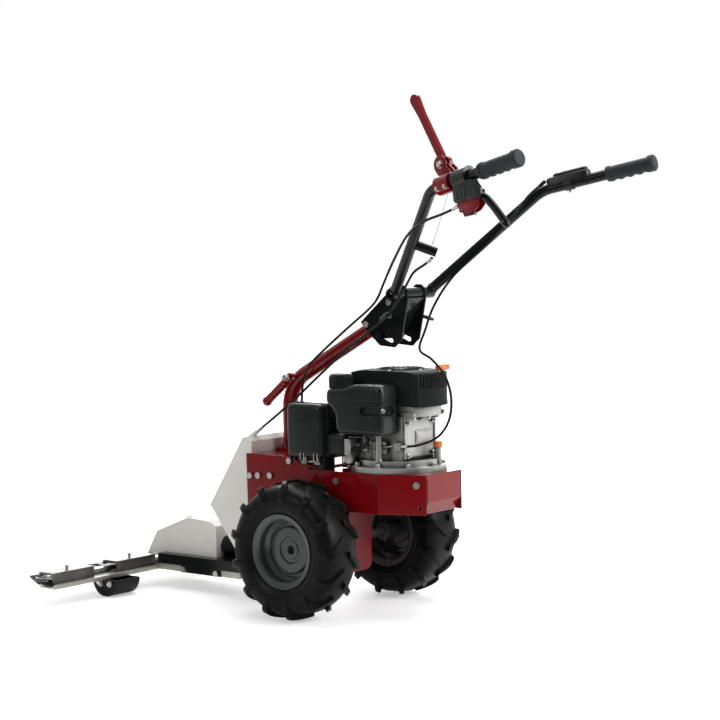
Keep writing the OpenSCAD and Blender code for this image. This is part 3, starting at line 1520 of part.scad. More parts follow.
// Red casing that the squeeze lever and the safety catch are hinged in
module lever_casing() {
  color(paint_red) along_grip() difference() {
    translate([clamp_start + clamp_len / 2 + casing_h / 4, 0, -casing_drop - casing_h / 2])
      rotate([90, 0, 0])
      linear_extrude(casing_w, center = true) round_rect(casing_len, casing_h, casing_h / 3);
    translate([clamp_start, -hanger_t / 2, -hanger_h]) cube([clamp_len, hanger_t, hanger_h]);
    translate([squeeze_back - squeeze_w, -squeeze_t / 2 - pass_gap, -casing_drop - casing_h - cut])
      cube([casing_len, squeeze_t + pass_gap * 2, casing_h + cut * 2]);
    translate([squeeze_back, 0, -squeeze_drop]) rotate([90, 0, 0])
      cylinder(r = lever_pin_d / 2 + run_fit, h = casing_w * 2, center = true);
    translate([catch_at.x - catch_w, -catch_t / 2 - pass_gap, -casing_drop - casing_h - cut])
      cube([catch_len, catch_t + pass_gap * 2, catch_w * 1.5 + cut]);
    translate([catch_at.x, 0, catch_at.y]) rotate([90, 0, 0])
      cylinder(r = catch_pin_d / 2 + run_fit, h = casing_w * 2, center = true);
  }
}

// Safety catch: a small finger hinged in the floor of the casing
module safety_catch() {
  color(plastic_black) along_grip() translate([catch_at.x, 0, catch_at.y]) rotate([90, 0, 0]) {
    linear_extrude(catch_t, center = true) {
      circle(d = catch_w);
      polygon([
        [-catch_w / 2, 0], [0, -catch_w * 1.2], [catch_len - catch_w * 2, -catch_w * 1.4],
        [catch_len - catch_w * 2, -catch_w * 0.8], [catch_w / 2, 0]
      ]);
    }
    cylinder(d = catch_pin_d, h = casing_w, center = true);
  }
}

// Squeeze lever: hinged in the casing, it hangs back and down below the grip
module drive_lever() {
  color(paint_black) along_grip() translate([squeeze_back, 0, -squeeze_drop])
    rotate([0, squeeze_slope, 0]) {
    rotate([90, 0, 0]) {
      linear_extrude(squeeze_t, center = true) {
        circle(d = squeeze_w);
        translate([0, -squeeze_w / 2]) square([squeeze_len, squeeze_w]);
        translate([squeeze_len, 0]) circle(d = squeeze_w);
      }
      cylinder(d = lever_pin_d, h = casing_w, center = true);
    }
  }
}

// Gear lever on the column: an eye on the column's pin, a stem and a red grip
module shift_lever() {
  d = unit([cos(39), 0, -sin(39)]);
  p = [shift_pin.x, shift_y, shift_pin.z];
  color(paint_red) difference() {
    union() {
      translate(p) crossbar(shift_pin_d * 2, shift_pin_d);
      rod(p, p + d * shift_pin_d * 2.2, shift_pin_d);
      rod(p + d * shift_pin_d * 1.8, p + d * shift_pin_d * 10, shift_pin_d * 2);
    }
    translate(p) rotate([90, 0, 0]) cylinder(r = shift_pin_d / 2 + run_fit, h = shift_y, center = true);
  }
}

// Dipstick with its cap, and the starter's pull handle
module oil_dipstick() {
  z = deck_top + sump_h + stick_tube_h + pass_gap / 2;
  color(starter_orange) {
    translate([stick_pos.x, stick_pos.y, z]) cylinder(d = stick_d + sheet, h = stick_cap_h);
    translate([stick_pos.x, stick_pos.y, z - stick_tube_h + sheet])
      cylinder(d = starter_stem_d, h = stick_tube_h);
  }
}

module starter_handle() {
  z = shroud_z + shroud_h + pass_gap / 2;
  color(starter_orange) {
    translate([starter_pos.x, starter_pos.y, z]) cylinder(d = starter_stem_d, h = starter_stem_h);
    translate([starter_pos.x, starter_pos.y - starter_len / 2, z + starter_stem_h]) rotate([-90, 0, 0])
      cylinder(d = starter_d, h = starter_len);
  }
}

// Held cables
module clutch_cable() { color(rubber_black) cable(clutch_route, cable_d, cable_sides); }
module drive_cable() { color(rubber_black) cable(drive_route, cable_d, cable_sides); }
module throttle_cable() { color(rubber_black) cable(throttle_route, cable_d, cable_sides); }

module lever_wire() { color(zinc) cable(wire_route, wire_d, cable_sides); }

engine_deck();
side_plate_left();
side_plate_right();
top_plate();
front_cover();
gearbox_housing();
column();
bracket_plates();
chassis_bolts();
engine_sump();
crankcase();
muffler();
carburettor();
air_filter_box();
fuel_tank();
cooling_shroud();
drive_belt();
knife_drive_case();
bar_carrier();
carrier_bars();
finger_bar();
fingers();
hold_downs();
bar_screws();
skids();
axle();
rim_left();
rim_right();
tyre_left();
tyre_right();
crankshaft();
flywheel();
drive_pulley();
input_shaft();
idler_arm();
pto_shaft();
knife_rocker();
knife();
handle_hinge();
handle_tube_left();
handle_tube_right();
grip_left();
grip_right();
cable_stop();
throttle_housing();
lever_bracket();
lever_clamp();
lever_casing();
blade_lever();
drive_lever();
safety_catch();
throttle_lever();
shift_lever();
fuel_cap();
oil_dipstick();
starter_handle();
clutch_cable();
drive_cable();
throttle_cable();
lever_wire();
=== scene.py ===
from math import cos, pi, radians, sin, sqrt, tan, tau

import bmesh
import bpy
from mathutils import Matrix, Vector


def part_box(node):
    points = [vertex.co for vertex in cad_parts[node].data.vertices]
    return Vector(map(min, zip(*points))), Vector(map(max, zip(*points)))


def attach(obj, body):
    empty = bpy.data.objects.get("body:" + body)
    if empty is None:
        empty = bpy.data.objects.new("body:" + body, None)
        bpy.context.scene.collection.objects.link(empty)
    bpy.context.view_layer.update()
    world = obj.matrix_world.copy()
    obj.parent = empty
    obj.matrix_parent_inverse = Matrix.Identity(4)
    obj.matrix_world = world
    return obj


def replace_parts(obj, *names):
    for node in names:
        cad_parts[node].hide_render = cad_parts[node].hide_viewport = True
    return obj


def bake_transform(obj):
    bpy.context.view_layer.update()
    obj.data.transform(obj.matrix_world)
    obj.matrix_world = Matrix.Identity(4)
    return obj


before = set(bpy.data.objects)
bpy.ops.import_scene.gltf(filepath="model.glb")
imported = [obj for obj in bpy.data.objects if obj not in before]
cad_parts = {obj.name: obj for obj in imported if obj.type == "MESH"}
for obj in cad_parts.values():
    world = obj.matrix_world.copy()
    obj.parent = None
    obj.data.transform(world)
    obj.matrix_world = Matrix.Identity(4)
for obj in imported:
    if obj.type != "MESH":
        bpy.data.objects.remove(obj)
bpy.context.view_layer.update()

# FOLDED CHASSIS
# Deck pan, side plates and top plate are 4 mm steel sheet, laser cut, folded and bolted together.
# They are sprayed in glossy red enamel, which shows a fine orange peel and thins to the primer on the folds.


def connect(material, node, plugs):
    """Sets or joins the sockets of a shader node."""
    for key, value in plugs.items():
        socket = next(s for s in node.inputs if s.identifier == key)
        if isinstance(value, bpy.types.NodeSocket):
            material.node_tree.links.new(value, socket)
        else:
            socket.default_value = value


def shader(material, kind, plugs, out=0, **settings):
    """Adds one shader node and returns the output that is used."""
    made = material.node_tree.nodes.new("ShaderNode" + kind)
    for key, value in settings.items():
        setattr(made, key, value)
    connect(material, made, plugs)
    return made.outputs[out]


def span(material, value, low, high, to_low=0.0, to_high=1.0):
    """Stretches a value between two levels onto two others."""
    return shader(material, "MapRange", {
        "Value": value, "From Min": low, "From Max": high, "To Min": to_low, "To Max": to_high})


def times(material, a, b):
    """Product of two values."""
    return shader(material, "Math", {"Value": a, "Value_001": b}, operation="MULTIPLY")


def over(material, share, under, top):
    """Lays one colour over another where share is high."""
    return shader(material, "Mix", {"Factor_Float": share, "A_Color": under, "B_Color": top}, 2,
                  data_type="RGBA")


def surface(name, colour, shade, rough, metal=0.0, patch=9.0, grain=1400.0, relief=0.00002, worn=None,
            chips=0.6, soften=0.0012, dust=0.0, clear=0.0, shine=0.5, stretch=(1.0, 1.0, 1.0), cells=0.0,
            painted_shade=0.0):
    """A finish with patchy colour, a grained skin, soft worn edges, dust on top and painted shade in the
    corners.
    """
    made = bpy.data.materials.new(name)
    made.use_nodes = True
    place = shader(made, "TexCoord", {}, "Object")
    along = shader(made, "VectorMath", {"Vector": place, "Vector_001": stretch}, operation="MULTIPLY")
    broad = shader(made, "TexNoise", {"Vector": along, "Scale": patch, "Detail": 5.0, "Roughness": 0.62})
    scuff = shader(made, "TexNoise", {"Vector": place, "Scale": 170.0, "Detail": 6.0, "Roughness": 0.7})
    if cells:
        fine = shader(made, "TexVoronoi", {"Vector": along, "Scale": cells})
    else:
        fine = shader(made, "TexNoise", {"Vector": along, "Scale": grain, "Detail": 2.0})
    eased = shader(made, "Bevel", {"Radius": soften}, samples=4)
    facing = shader(made, "NewGeometry", {}, "Normal")
    tint = over(made, span(made, broad, 0.36, 0.66), colour + (1.0,), shade + (1.0,))
    gloss = span(made, broad, 0.3, 0.7, rough * 0.88, rough * 1.14)
    if worn:
        bend = shader(made, "VectorMath", {"Vector": eased, "Vector_001": facing}, 1, operation="DOT_PRODUCT")
        edge = times(made, span(made, bend, 0.95, 0.80), span(made, scuff, 0.47, 0.60, 0.0, chips))
        tint = over(made, edge, tint, worn + (1.0,))
    if dust:
        up = shader(made, "SeparateXYZ", {"Vector": facing}, "Z")
        lying = times(made, span(made, up, -0.2, 1.0, 0.25, 1.0),
                      span(made, broad, 0.38, 0.72, dust * 0.15, dust))
        tint = over(made, lying, tint, (0.30, 0.27, 0.23, 1.0))
    # Painted shade: an ambient occlusion mask darkens corners and creases towards near-black.
    if painted_shade:
        sky = shader(made, "AmbientOcclusion", {"Distance": 0.03}, "AO", samples=6)
        tint = over(made, span(made, sky, 0.25, 0.95, painted_shade, 0.0), tint, (0.020, 0.019, 0.017, 1.0))
    bumps = shader(made, "Bump", {"Strength": 1.0, "Distance": relief, "Height": fine, "Normal": eased})
    connect(made, made.node_tree.nodes["Principled BSDF"], {
        "Base Color": tint, "Roughness": gloss, "Normal": bumps, "Metallic": metal,
        "Specular IOR Level": shine, "Coat Weight": clear, "Coat Roughness": 0.08})
    return made


def dress(material, *names):
    """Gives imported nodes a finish."""
    for name in names:
        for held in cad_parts[name].material_slots:
            held.material = material


red, deep_red = (0.205, 0.0022, 0.0045), (0.18, 0.0019, 0.0038)
red_enamel = surface("red_enamel", red, deep_red, 0.12, grain=320.0, relief=0.000003,
                     worn=(0.12, 0.03, 0.027), dust=0.008, shine=0.4, soften=0.0035)
dress(red_enamel, "engine_deck", "side_plate_left", "side_plate_right", "top_plate")

# FRONT COVER
# A folded sheet cover with welded cheeks closes the nose in front of the gearbox; it stands on the top plate.
# It is sprayed ivory, like the knife drive hood, and shows faint runs and grey rubs along its folds.
ivory = surface("ivory_enamel", (0.84, 0.82, 0.78), (0.78, 0.76, 0.71), 0.30, grain=320.0, relief=0.000012,
                worn=(0.40, 0.37, 0.33), dust=0.05, clear=0.05, shine=0.25)
dress(ivory, "front_cover")

# GEARBOX HOUSING
# A sand-cast iron case with axle bosses, machined where the shafts pass and sprayed red with the chassis.
# Its cast skin stays coarse under the paint and holds some dust.
red_casting = surface("red_casting", (0.19, 0.004, 0.007), (0.13, 0.003, 0.005), 0.36, grain=420.0,
                      relief=0.00012, worn=(0.10, 0.04, 0.036), dust=0.05, shine=0.3, soften=0.003)
dress(red_casting, "gearbox_housing")

# FRAME BOLTS
# Hexagon bolts through deck, side plates and column head, zinc plated and chromated.
# Every head carries a plain washer that has bitten slightly into the paint.
zinc = surface("zinc_plate", (0.70, 0.695, 0.67), (0.56, 0.56, 0.545), 0.30, metal=1.0, patch=60.0,
               grain=2600.0, worn=(0.30, 0.29, 0.27), soften=0.0005, dust=0.04)
dress(zinc, "chassis_bolts")

# COLUMN
# A bent steel tube stands on a gusseted foot plate and ends in a flat head for the handlebar plates.
# Foot, gussets and head are welded on; a rippled bead runs round the foot and along each gusset under the red
# paint.
UP, DOWN, LEFT, AHEAD, BACK = (0, 0, 1), (0, 0, -1), (0, 1, 0), (1, 0, 0), (-1, 0, 0)


def turn(shape, place, profile, sides, closed=False):
    """Turns a profile of (radius, height) about the local Z axis of place."""
    rings = []
    for r, z in profile:
        count = sides if r > 0 else 1
        rings.append([shape.verts.new(place @ Vector((r * cos(tau * k / sides), r * sin(tau * k / sides), z)))
                      for k in range(count)])
    for low, high in zip(rings, rings[1:] + (rings[:1] if closed else [])):
        for k in range(sides):
            corners = []
            for ring, step in ((low, k), (low, k + 1), (high, k + 1), (high, k)):
                if ring[step % len(ring)] not in corners:
                    corners.append(ring[step % len(ring)])
            if len(corners) > 2:
                shape.faces.new(corners)


def toward(origin, axis):
    """A place whose Z axis points along axis."""
    turned = Vector(UP).rotation_difference(Vector(axis)).to_matrix().to_4x4()
    return Matrix.Translation(Vector(origin)) @ turned


def lathe(shape, origin, axis, profile, sides):
    """Turns a profile about an axis through origin and closes both of its ends."""
    turn(shape, toward(origin, axis), [(0, profile[0][1])] + profile + [(0, profile[-1][1])], sides)


def skin(shape, rings, closed=False):
    """Joins rings of corners and caps the ends, unless the last ring joins the first."""
    for low, high in zip(rings, rings[1:] + (rings[:1] if closed else [])):
        for k in range(len(low)):
            shape.faces.new((low[k - 1], low[k], high[k], high[k - 1]))
    if not closed:
        shape.faces.new(rings[0])
        shape.faces.new(rings[-1])


def sweep(shape, route, radius, sides, closed=False):
    """A round bar along a route; radius is one number or one for each point."""
    route = [Vector(p) for p in route]
    last = len(route) - 1
    rings, side = [], None
    for i, p in enumerate(route):
        before = route[i - 1] if closed or i else route[0]
        after = route[(i + 1) % len(route)] if closed or i < last else route[last]
        ahead = (after - before).normalized()
        side = ahead.orthogonal() if side is None else side
        side = (side - ahead * side.dot(ahead)).normalized()
        across = ahead.cross(side)
        r = radius[i] if isinstance(radius, list) else radius
        rings.append([shape.verts.new(p + (side * cos(tau * k / sides)
                                           + across * sin(tau * k / sides)) * r) for k in range(sides)])
    skin(shape, rings, closed)


def add_object(name, data):
    """Puts one object into the scene."""
    made = bpy.data.objects.new(name, data)
    bpy.context.scene.collection.objects.link(made)
    return made


def solid(name, shape):
    """Makes one object of a drawn shape and frees the shape."""
    bmesh.ops.recalc_face_normals(shape, faces=shape.faces)
    mesh = bpy.data.meshes.new(name)
    shape.to_mesh(mesh)
    shape.free()
    return add_object(name, mesh)


def piece(name, shape, material, body="chassis", crease=38):
    """Makes one object of a shape drawn in millimetres and lets it ride on a body."""
    made = solid(name, shape)
    mesh = made.data
    mesh.transform(Matrix.Scale(0.001, 4))
    mesh.materials.append(material)
    mesh.shade_smooth()
    mesh.set_sharp_from_angle(angle=radians(crease))
    if body:
        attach(made, body)
    return made


def arc(x, y, r, start, end, steps):
    """Points of an arc between two angles in degrees."""
    turned = [radians(start + (end - start) * k / steps) for k in range(steps + 1)]
    return [(x + r * cos(a), y + r * sin(a)) for a in turned]


def circle(origin, axis, radius, steps):
    """Points of a circle round an axis."""
    place = toward(origin, axis)
    return [place @ Vector((x, y, 0)) for x, y in arc(0, 0, radius, 0, 360, steps)[:-1]]


def weld(shape, route, size, closed=True):
    """A rippled weld bead along a route."""
    sweep(shape, route, [size * (1.0 + 0.14 * sin(i * 1.9)) for i in range(len(route))], 8, closed)


dress(red_enamel, "column")
beads = bmesh.new()
column_foot = Vector((178, 0, 386))
weld(beads, circle(column_foot, UP, 19.4, 72), 1.9)
for k in range(4):
    out = Vector((cos(k * pi / 2), sin(k * pi / 2), 0))
    side = Vector((-out.y, out.x, 0))
    for flank in (-3.2, 3.2):
        foot = column_foot + side * flank
        weld(beads, [foot + out * (20.5 + 0.5 * s) for s in range(12)], 1.3, False)
piece("column_welds", beads, red_enamel)

# GEAR LEVER
# A short steel stem turns on a pin on the column and carries a dipped red plastic grip with a round end.
# Moulded rings stop the hand from slipping; the pin ends in a plated lock nut.


def hex_head(shape, place, across, height, washer=0.0):
    """A hexagon head or nut with chamfered corners, on a washer if one is given."""
    base = 0.0
    if washer:
        base = height * 0.18
        turn(shape, place, [(0, 0), (washer, 0), (washer, base), (0, base)], 28)
    r = across / sqrt(3)
    turn(shape, place, [(0, base), (r, base), (r, base + height * 0.8), (r * 0.86, base + height),
                        (0, base + height)], 6)


dress(red_enamel, "shift_lever")
lever_slope = radians(39)
lever_way = Vector((cos(lever_slope), 0, -sin(lever_slope)))
lever_pin = Vector((145.7, 34, 562.9))
grip = bmesh.new()
rings = [(0, 17.6), (9.6, 17.6)]
for k in range(7):
    start = 19 + k * 10.5
    rings += [(10.2, start), (10.9, start + 2.5), (10.9, start + 6.5), (10.2, start + 9)]
rings += [(10.9, 94), (12.2, 98), (12.6, 102), (11.4, 107), (8.2, 110.6), (4.0, 112.2), (0, 112.6)]
turn(grip, toward(lever_pin, lever_way), rings, 32)
piece("gear_lever_grip", grip, red_enamel, "gear_lever", 50)
nut = bmesh.new()
hex_head(nut, toward(lever_pin + Vector((0, 17, 0)), LEFT), 15, 7, 9.5)
piece("gear_lever_nut", nut, zinc)

# WHEEL RIMS AND AXLE
# Pressed steel rims with a welded hub tube, sprayed in silver grey; the drop-forged axle is bare iron.
# Weld beads hold hub and disc, and a rubber valve stem with a cap stands inside each rim.
rim_paint = surface("rim_silver", (0.085, 0.089, 0.089), (0.066, 0.070, 0.070), 0.26, metal=0.35, patch=14.0,
                    grain=900.0, relief=0.000002, worn=(0.26, 0.26, 0.25), dust=0.02, shine=0.4, soften=0.002)
dress(rim_paint, "rim_left", "rim_right")
iron = surface("grey_iron", (0.11, 0.11, 0.11), (0.075, 0.075, 0.075), 0.44, metal=0.75, patch=30.0,
               grain=800.0, relief=0.00009, worn=(0.36, 0.35, 0.34), dust=0.04)
dress(iron, "axle")
rubber = surface("hose_rubber", (0.006, 0.0065, 0.007), (0.009, 0.0095, 0.010), 0.48, grain=1600.0,
                 worn=(0.03, 0.03, 0.03), chips=0.3, dust=0.010, shine=0.25)
both_sides = ((1, "left"), (-1, "right"))
hub_y, hub_z = 199, 166
hub_end, disc_out, stem_out = 212, 208.6, 204
for side, name in both_sides:
    beads = bmesh.new()
    weld(beads, circle((0, side * hub_end, hub_z), (0, side, 0), 20.8, 72), 1.7)
    weld(beads, circle((0, side * disc_out, hub_z), (0, side, 0), 66.0, 160), 1.6)
    piece("rim_weld_" + name, beads, rim_paint, "wheels")
    foot = Vector((-40, side * stem_out, hub_z + 46))
    way = Vector((0, -side, 0))
    stem = bmesh.new()
    lathe(stem, foot, way, [(7.5, 0), (7.5, 2), (5.2, 5), (4.0, 9), (4.0, 22), (3.4, 23)], 24)
    piece("valve_stem_" + name, stem, rubber, "wheels")
    cap = bmesh.new()
    lathe(cap, foot + way * 22, way, [(4.3, 0), (4.3, 1.5), (3.9, 2), (3.9, 9), (2.6, 11)], 16)
    piece("valve_cap_" + name, cap, rubber, "wheels")

# TYRES
# Farm tyres: moulded rubber carcass with ribbed side walls and deep chevron lugs that run down the shoulder.
# The lug flanks are drafted and their edges rounded by the mould; fine dust sits in the corners.
tyre_rubber = surface("tyre_rubber", (0.0030, 0.0035, 0.0033), (0.0052, 0.0056, 0.0053), 0.38, patch=16.0,
                      grain=900.0, relief=0.00001, worn=(0.018, 0.018, 0.017), chips=0.4, soften=0.002,
                      dust=0.008, shine=0.12)
side_wall = [(77.6, 42), (80.5, 44.2), (85, 45.6), (89.5, 46.6), (92, 48.6), (95, 50.6), (97.2, 52.2),
             (99, 52.6), (100.6, 53.6), (104, 55.4), (107, 56.6), (108, 58), (110, 58.2),
             (111, 57.6), (115, 58.6), (122, 58.9), (129, 58.4), (137, 57), (144.5, 53.2),
             (150.5, 46.6), (155, 37.5), (157.4, 23), (158.2, 8), (158.2, 0)]
inner_wall = [(77.6, 33), (90, 44), (110, 51.5), (128, 51.5), (140, 44), (145, 25), (145.5, 0)]
crown = [(7.5, 166), (20, 166), (34, 165.6), (44, 164.2), (51, 160.8), (55.8, 154.8),
         (58.8, 147), (60.4, 137), (60.8, 127), (59.6, 119.5)]
root = [(7.5, 150), (20, 149), (33, 147), (41, 143.5), (46, 139), (50, 134),
        (53, 129), (55, 124), (56, 120), (56.6, 117)]
lug_pairs, lug_lean, lug_radius = 13, radians(38), 160.0
lug_start, lug_full = 7.5, 52.0
lug_half, lug_flare = 7.6, 1.6
lug_flank = ((3.4, 0.0), (0.7, 0.66), (-0.5, 0.93), (-2.0, 1.0))


def on_wheel(side, r, angle, out):
    """A point of a wheel, out from its middle plane."""
    return Vector((r * cos(angle), side * (hub_y + out), hub_z - side * r * sin(angle)))


for side, name in both_sides:
    tyre = bmesh.new()
    half = side_wall + [(r, -w) for r, w in reversed(side_wall[:-1])]
    bore = inner_wall + [(r, -w) for r, w in reversed(inner_wall[:-1])]
    hub = toward((0, side * hub_y, hub_z), (0, side, 0))
    turn(tyre, hub, half + list(reversed(bore)), 144, True)
    for lug in range(2 * lug_pairs):
        flank = 1 if lug % 2 else -1
        centre = tau * (lug // 2 + (0.0 if flank > 0 else 0.5)) / lug_pairs
        stations = []
        for (out, top), (deep, foot) in zip(crown, root):
            run = min(out, lug_full) - lug_start
            turned = centre - run * tan(lug_lean) / lug_radius
            wide = lug_half + lug_flare * run / (lug_full - lug_start)
            ramp = [(wide + more, lift) for more, lift in lug_flank]
            ring = []
            for across, lift in [(-far, lift) for far, lift in ramp] + [(0.0, 1.0)] + ramp[::-1]:
                r = foot + (top - foot) * lift
                ring.append(tyre.verts.new(on_wheel(side, r, turned + across / lug_radius,
                                                    flank * (deep + (out - deep) * lift))))
            stations.append(ring)
        skin(tyre, stations)
    made = piece("tyre_" + name + "_rubber", tyre, tyre_rubber, "wheels", 32)
    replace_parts(made, "tyre_" + name)

# ENGINE BASE AND CRANKCASE
# Die-cast aluminium sump, crankcase and finned cylinder of an upright-shaft engine, with painted shade
# darkening their corners.
# Flange screws go round the sump, and the rear wall of the crankcase carries a raised panel with ribs.


def rounded(x0, y0, x1, y1, r, steps=6):
    """Outline of a rectangle with round corners."""
    return (arc(x1 - r, y1 - r, r, 0, 90, steps) + arc(x0 + r, y1 - r, r, 90, 180, steps)
            + arc(x0 + r, y0 + r, r, 180, 270, steps) + arc(x1 - r, y0 + r, r, 270, 360, steps))


def mould(shape, outline, levels, place=Matrix.Identity(4)):
    """A solid of one outline drawn in or out at each level of (height, inset)."""
    count = len(outline)
    normals = []
    for i in range(count):
        a, b, c = (Vector(outline[j % count]) for j in (i - 1, i, i + 1))
        ways = [Vector((w.y, -w.x)).normalized() for w in (b - a, c - b) if w.length > 1e-6]
        mean = sum(ways, Vector((0, 0))).normalized()
        normals.append(mean / max(0.3, mean.dot(ways[0])))
    rings = [[shape.verts.new(place @ Vector((p[0] - n.x * inset, p[1] - n.y * inset, z)))
              for p, n in zip(outline, normals)] for z, inset in levels]
    skin(shape, rings)


def soft(z0, z1, round_low, round_high, steps=5):
    """Levels of a moulding with a round lower and upper edge."""
    bend = [(1 - y, 1 - x) for x, y in arc(0, 0, 1, 90, 0, steps)]
    low = [(z0 + round_low * near, round_low * far) for near, far in bend] if round_low else [(z0, 0)]
    high = [(z1 - round_high * far, round_high * near) for near, far in bend] if round_high else [(z1, 0)]
    return low + high


def upright(y=0.0, along=1, out=1):
    """A place whose X runs along the machine, Y runs up and Z points to a side."""
    return Matrix(((along, 0, 0, 0), (0, 0, out, y), (0, 1, 0, 0), (0, 0, 0, 1)))


def crossways(x=0.0, way=1):
    """A place whose X runs across the machine, Y runs up and Z points forward, or back if way is -1."""
    return Matrix(((0, 0, way, x), (way, 0, 0, 0), (0, 1, 0, 0), (0, 0, 0, 1)))


# The cast alloy carries painted shade in its corners and creases from an occlusion mask.
alloy = surface("cast_alloy", (0.60, 0.60, 0.58), (0.47, 0.47, 0.455), 0.38, metal=0.85, patch=22.0,
                grain=900.0, relief=0.00004, worn=(0.70, 0.70, 0.68), chips=0.4, soften=0.0016, dust=0.03,
                painted_shade=0.85)
dress(alloy, "engine_sump", "crankcase")
crank_x = -164
screws = bmesh.new()
for x, y in arc(crank_x, 0, 107, 20, 340, 8):
    hex_head(screws, toward((x, y, 363), UP), 10, 7, 8)
piece("sump_screws", screws, zinc)
panel = bmesh.new()
rear_x = -228
rear_wall = crossways(rear_x, -1)
mould(panel, rounded(-17, 413, 48, 446, 3), [(-1, 0), (1.4, 0), (2.4, 1.0)], rear_wall)
mould(panel, rounded(-13, 417, 44, 442, 2), [(2.0, 0), (3.0, 0), (3.6, 0.6)], rear_wall)
for x in (-62, 56):
    mould(panel, rounded(x, 380, x + 6, 482, 2.9), [(-1, 0), (2.2, 0), (3.4, 1.2)], rear_wall)
for x in (-60, 0, 58):
    mould(panel, [(-8, 470), (1, 470), (30, 484), (30, 492), (-8, 492)],
          [(x - 3, 0.6), (x - 2.4, 0), (x + 2.4, 0), (x + 3, 0.6)],
          Matrix.Translation((rear_x, 0, 0)) @ upright(0, -1))
for y in (386, 464):
    for x in (-54, 48):
        mould(panel, rounded(x, y, x + 6, y + 6, 2.9), [(-1, 0), (4.0, 0), (5.0, 1.0)], rear_wall)
piece("crankcase_panel", panel, alloy)
case_screws = bmesh.new()
for y in (-50, 50):
    for z in (389, 467):
        hex_head(case_screws, toward((-233, y, z), BACK), 8, 5, 6.5)
for x, y in arc(crank_x, 0, 98, 150, 306, 6):
    hex_head(case_screws, toward((x, y, 482), DOWN), 8, 6, 6.5)
piece("crankcase_screws", case_screws, zinc)
casting = bmesh.new()
chest = upright(63, -1)
mould(casting, [(82, 376), (158, 376), (158, 440), (118, 440), (96, 418), (82, 396)],
      soft(0, 10, 0, 4), chest)
for k in range(3):
    mould(casting, rounded(92 + k * 22, 380, 96 + k * 22, 412 + k * 10, 1.9), [(8, 0), (12, 0), (13, 0.9)],
          chest)
mould(casting, [(90, 392), (94, 389), (152, 430), (149, 434)], [(8, 0), (12.5, 0), (13.2, 0.8)], chest)
piece("valve_chest", casting, alloy)
post = bmesh.new()
lathe(post, (-176, 92, 376), UP, [(9, 0), (9, 5), (6.4, 6), (6.4, 58), (8.6, 59), (8.6, 64)], 28)
piece("tank_post", post, zinc)
head = bmesh.new()
forward = crossways(-16)
mould(head, rounded(-46, 384, 46, 476, 16), soft(0, 12, 0, 4), forward)
for k in range(6):
    mould(head, rounded(-40, 392 + k * 13, 40, 395.5 + k * 13, 1.6), [(10, 0), (17, 0), (18, 0.9)], forward)
piece("cylinder_head", head, alloy)

# IGNITION
# The spark plug stands in the cylinder head with a white ceramic neck and a rubber boot.
# Its moulded lead runs back along the right side and into the shroud.
ceramic = surface("plug_ceramic", (0.75, 0.74, 0.70), (0.66, 0.65, 0.60), 0.22, patch=80.0, clear=0.4)
plug_y, plug_z = -14, 448
plug = bmesh.new()
hex_head(plug, toward((2, plug_y, plug_z), AHEAD), 18, 9, 11)
piece("spark_plug_body", plug, zinc)
plug = bmesh.new()
lathe(plug, (10, plug_y, plug_z), AHEAD, [(6, 0), (6, 5), (5, 6), (5, 9), (4.4, 10), (4.4, 14)], 20)
piece("spark_plug_neck", plug, ceramic)
lead = bmesh.new()
lathe(lead, (18, plug_y, plug_z), AHEAD, [(7.4, 0), (8, 2), (8, 12), (6, 16), (4, 18)], 20)
sweep(lead, [(34, plug_y, plug_z), (40, -18, 450), (42, -28, 458), (36, -42, 474), (16, -54, 496),
             (-14, -64, 512), (-44, -70, 520), (-58, -72, 522)], 3.2, 10)
piece("ignition_lead", lead, rubber)

# CARBURETTOR AND GOVERNOR
# A die-cast carburettor with a pressed float bowl hangs between crankcase and air filter.
# Governor arm, link rods and springs beside it are bent from plated wire and stamped strip.


def wire_spring(shape, start, end, radius, wire, turns):
    """A coil spring with straight hooks between two points."""
    start, end = Vector(start), Vector(end)
    place = toward(start, end - start)
    length = (end - start).length
    route = [place @ Vector((0, 0, 0)), place @ Vector((0, 0, length * 0.1))]
    steps = turns * 12
    for k in range(steps + 1):
        a = tau * turns * k / steps
        route.append(place @ Vector((radius * cos(a), radius * sin(a), length * (0.12 + 0.76 * k / steps))))
    route += [place @ Vector((0, 0, length * 0.9)), end]
    sweep(shape, route, wire, 6)


dress(alloy, "carburettor")
bowl = bmesh.new()
bowl_foot = (-80, 86, 358)
lathe(bowl, bowl_foot, UP,
      [(5, 0), (5, 4), (13, 5), (16.5, 8), (17.5, 12), (17.5, 28), (19.5, 29), (19.5, 32)], 32)
hex_head(bowl, toward(bowl_foot, DOWN), 10, 5)
piece("float_bowl", bowl, zinc)
links = bmesh.new()
mould(links, [(-131, 398), (-124, 398), (-118, 414), (-116, 432), (-122, 434), (-129, 416)], [(0, 0), (2, 0)],
      upright(76))
sweep(links, [(-119, 79, 430), (-118, 84, 431), (-96, 92, 430), (-84, 96, 431), (-70, 97, 430),
              (-69, 92, 429)], 1.0, 8)
sweep(links, [(-128, 77, 402), (-140, 79, 401), (-172, 82, 404), (-176, 79, 404)], 1.1, 8)
sweep(links, [(-206, 74, 412), (-196, 78, 412), (-178, 80, 408), (-174, 76, 407)], 1.0, 8)
wire_spring(links, (-122, 80, 424), (-162, 82, 416), 3.2, 0.6, 14)
wire_spring(links, (-84, 99, 420), (-118, 86, 410), 2.6, 0.5, 16)
piece("governor_links", links, zinc)
lever_plate = bmesh.new()
mould(lever_plate, rounded(-186, 392, -146, 424, 6), soft(0, 3, 0, 0.8), upright(73))
lathe(lever_plate, (-166, 64, 408), LEFT, [(9, 0), (9, 13), (6, 15), (6, 18)], 28)
lathe(lever_plate, (-126, 62, 403), LEFT, [(11, 0), (11, 9), (8, 11), (5, 12), (5, 19)], 28)
piece("control_plate", lever_plate, alloy)
studs = bmesh.new()
for x, z in ((-180, 398), (-152, 398), (-180, 418), (-152, 418)):
    hex_head(studs, toward((x, 76, z), LEFT), 6, 4, 5)
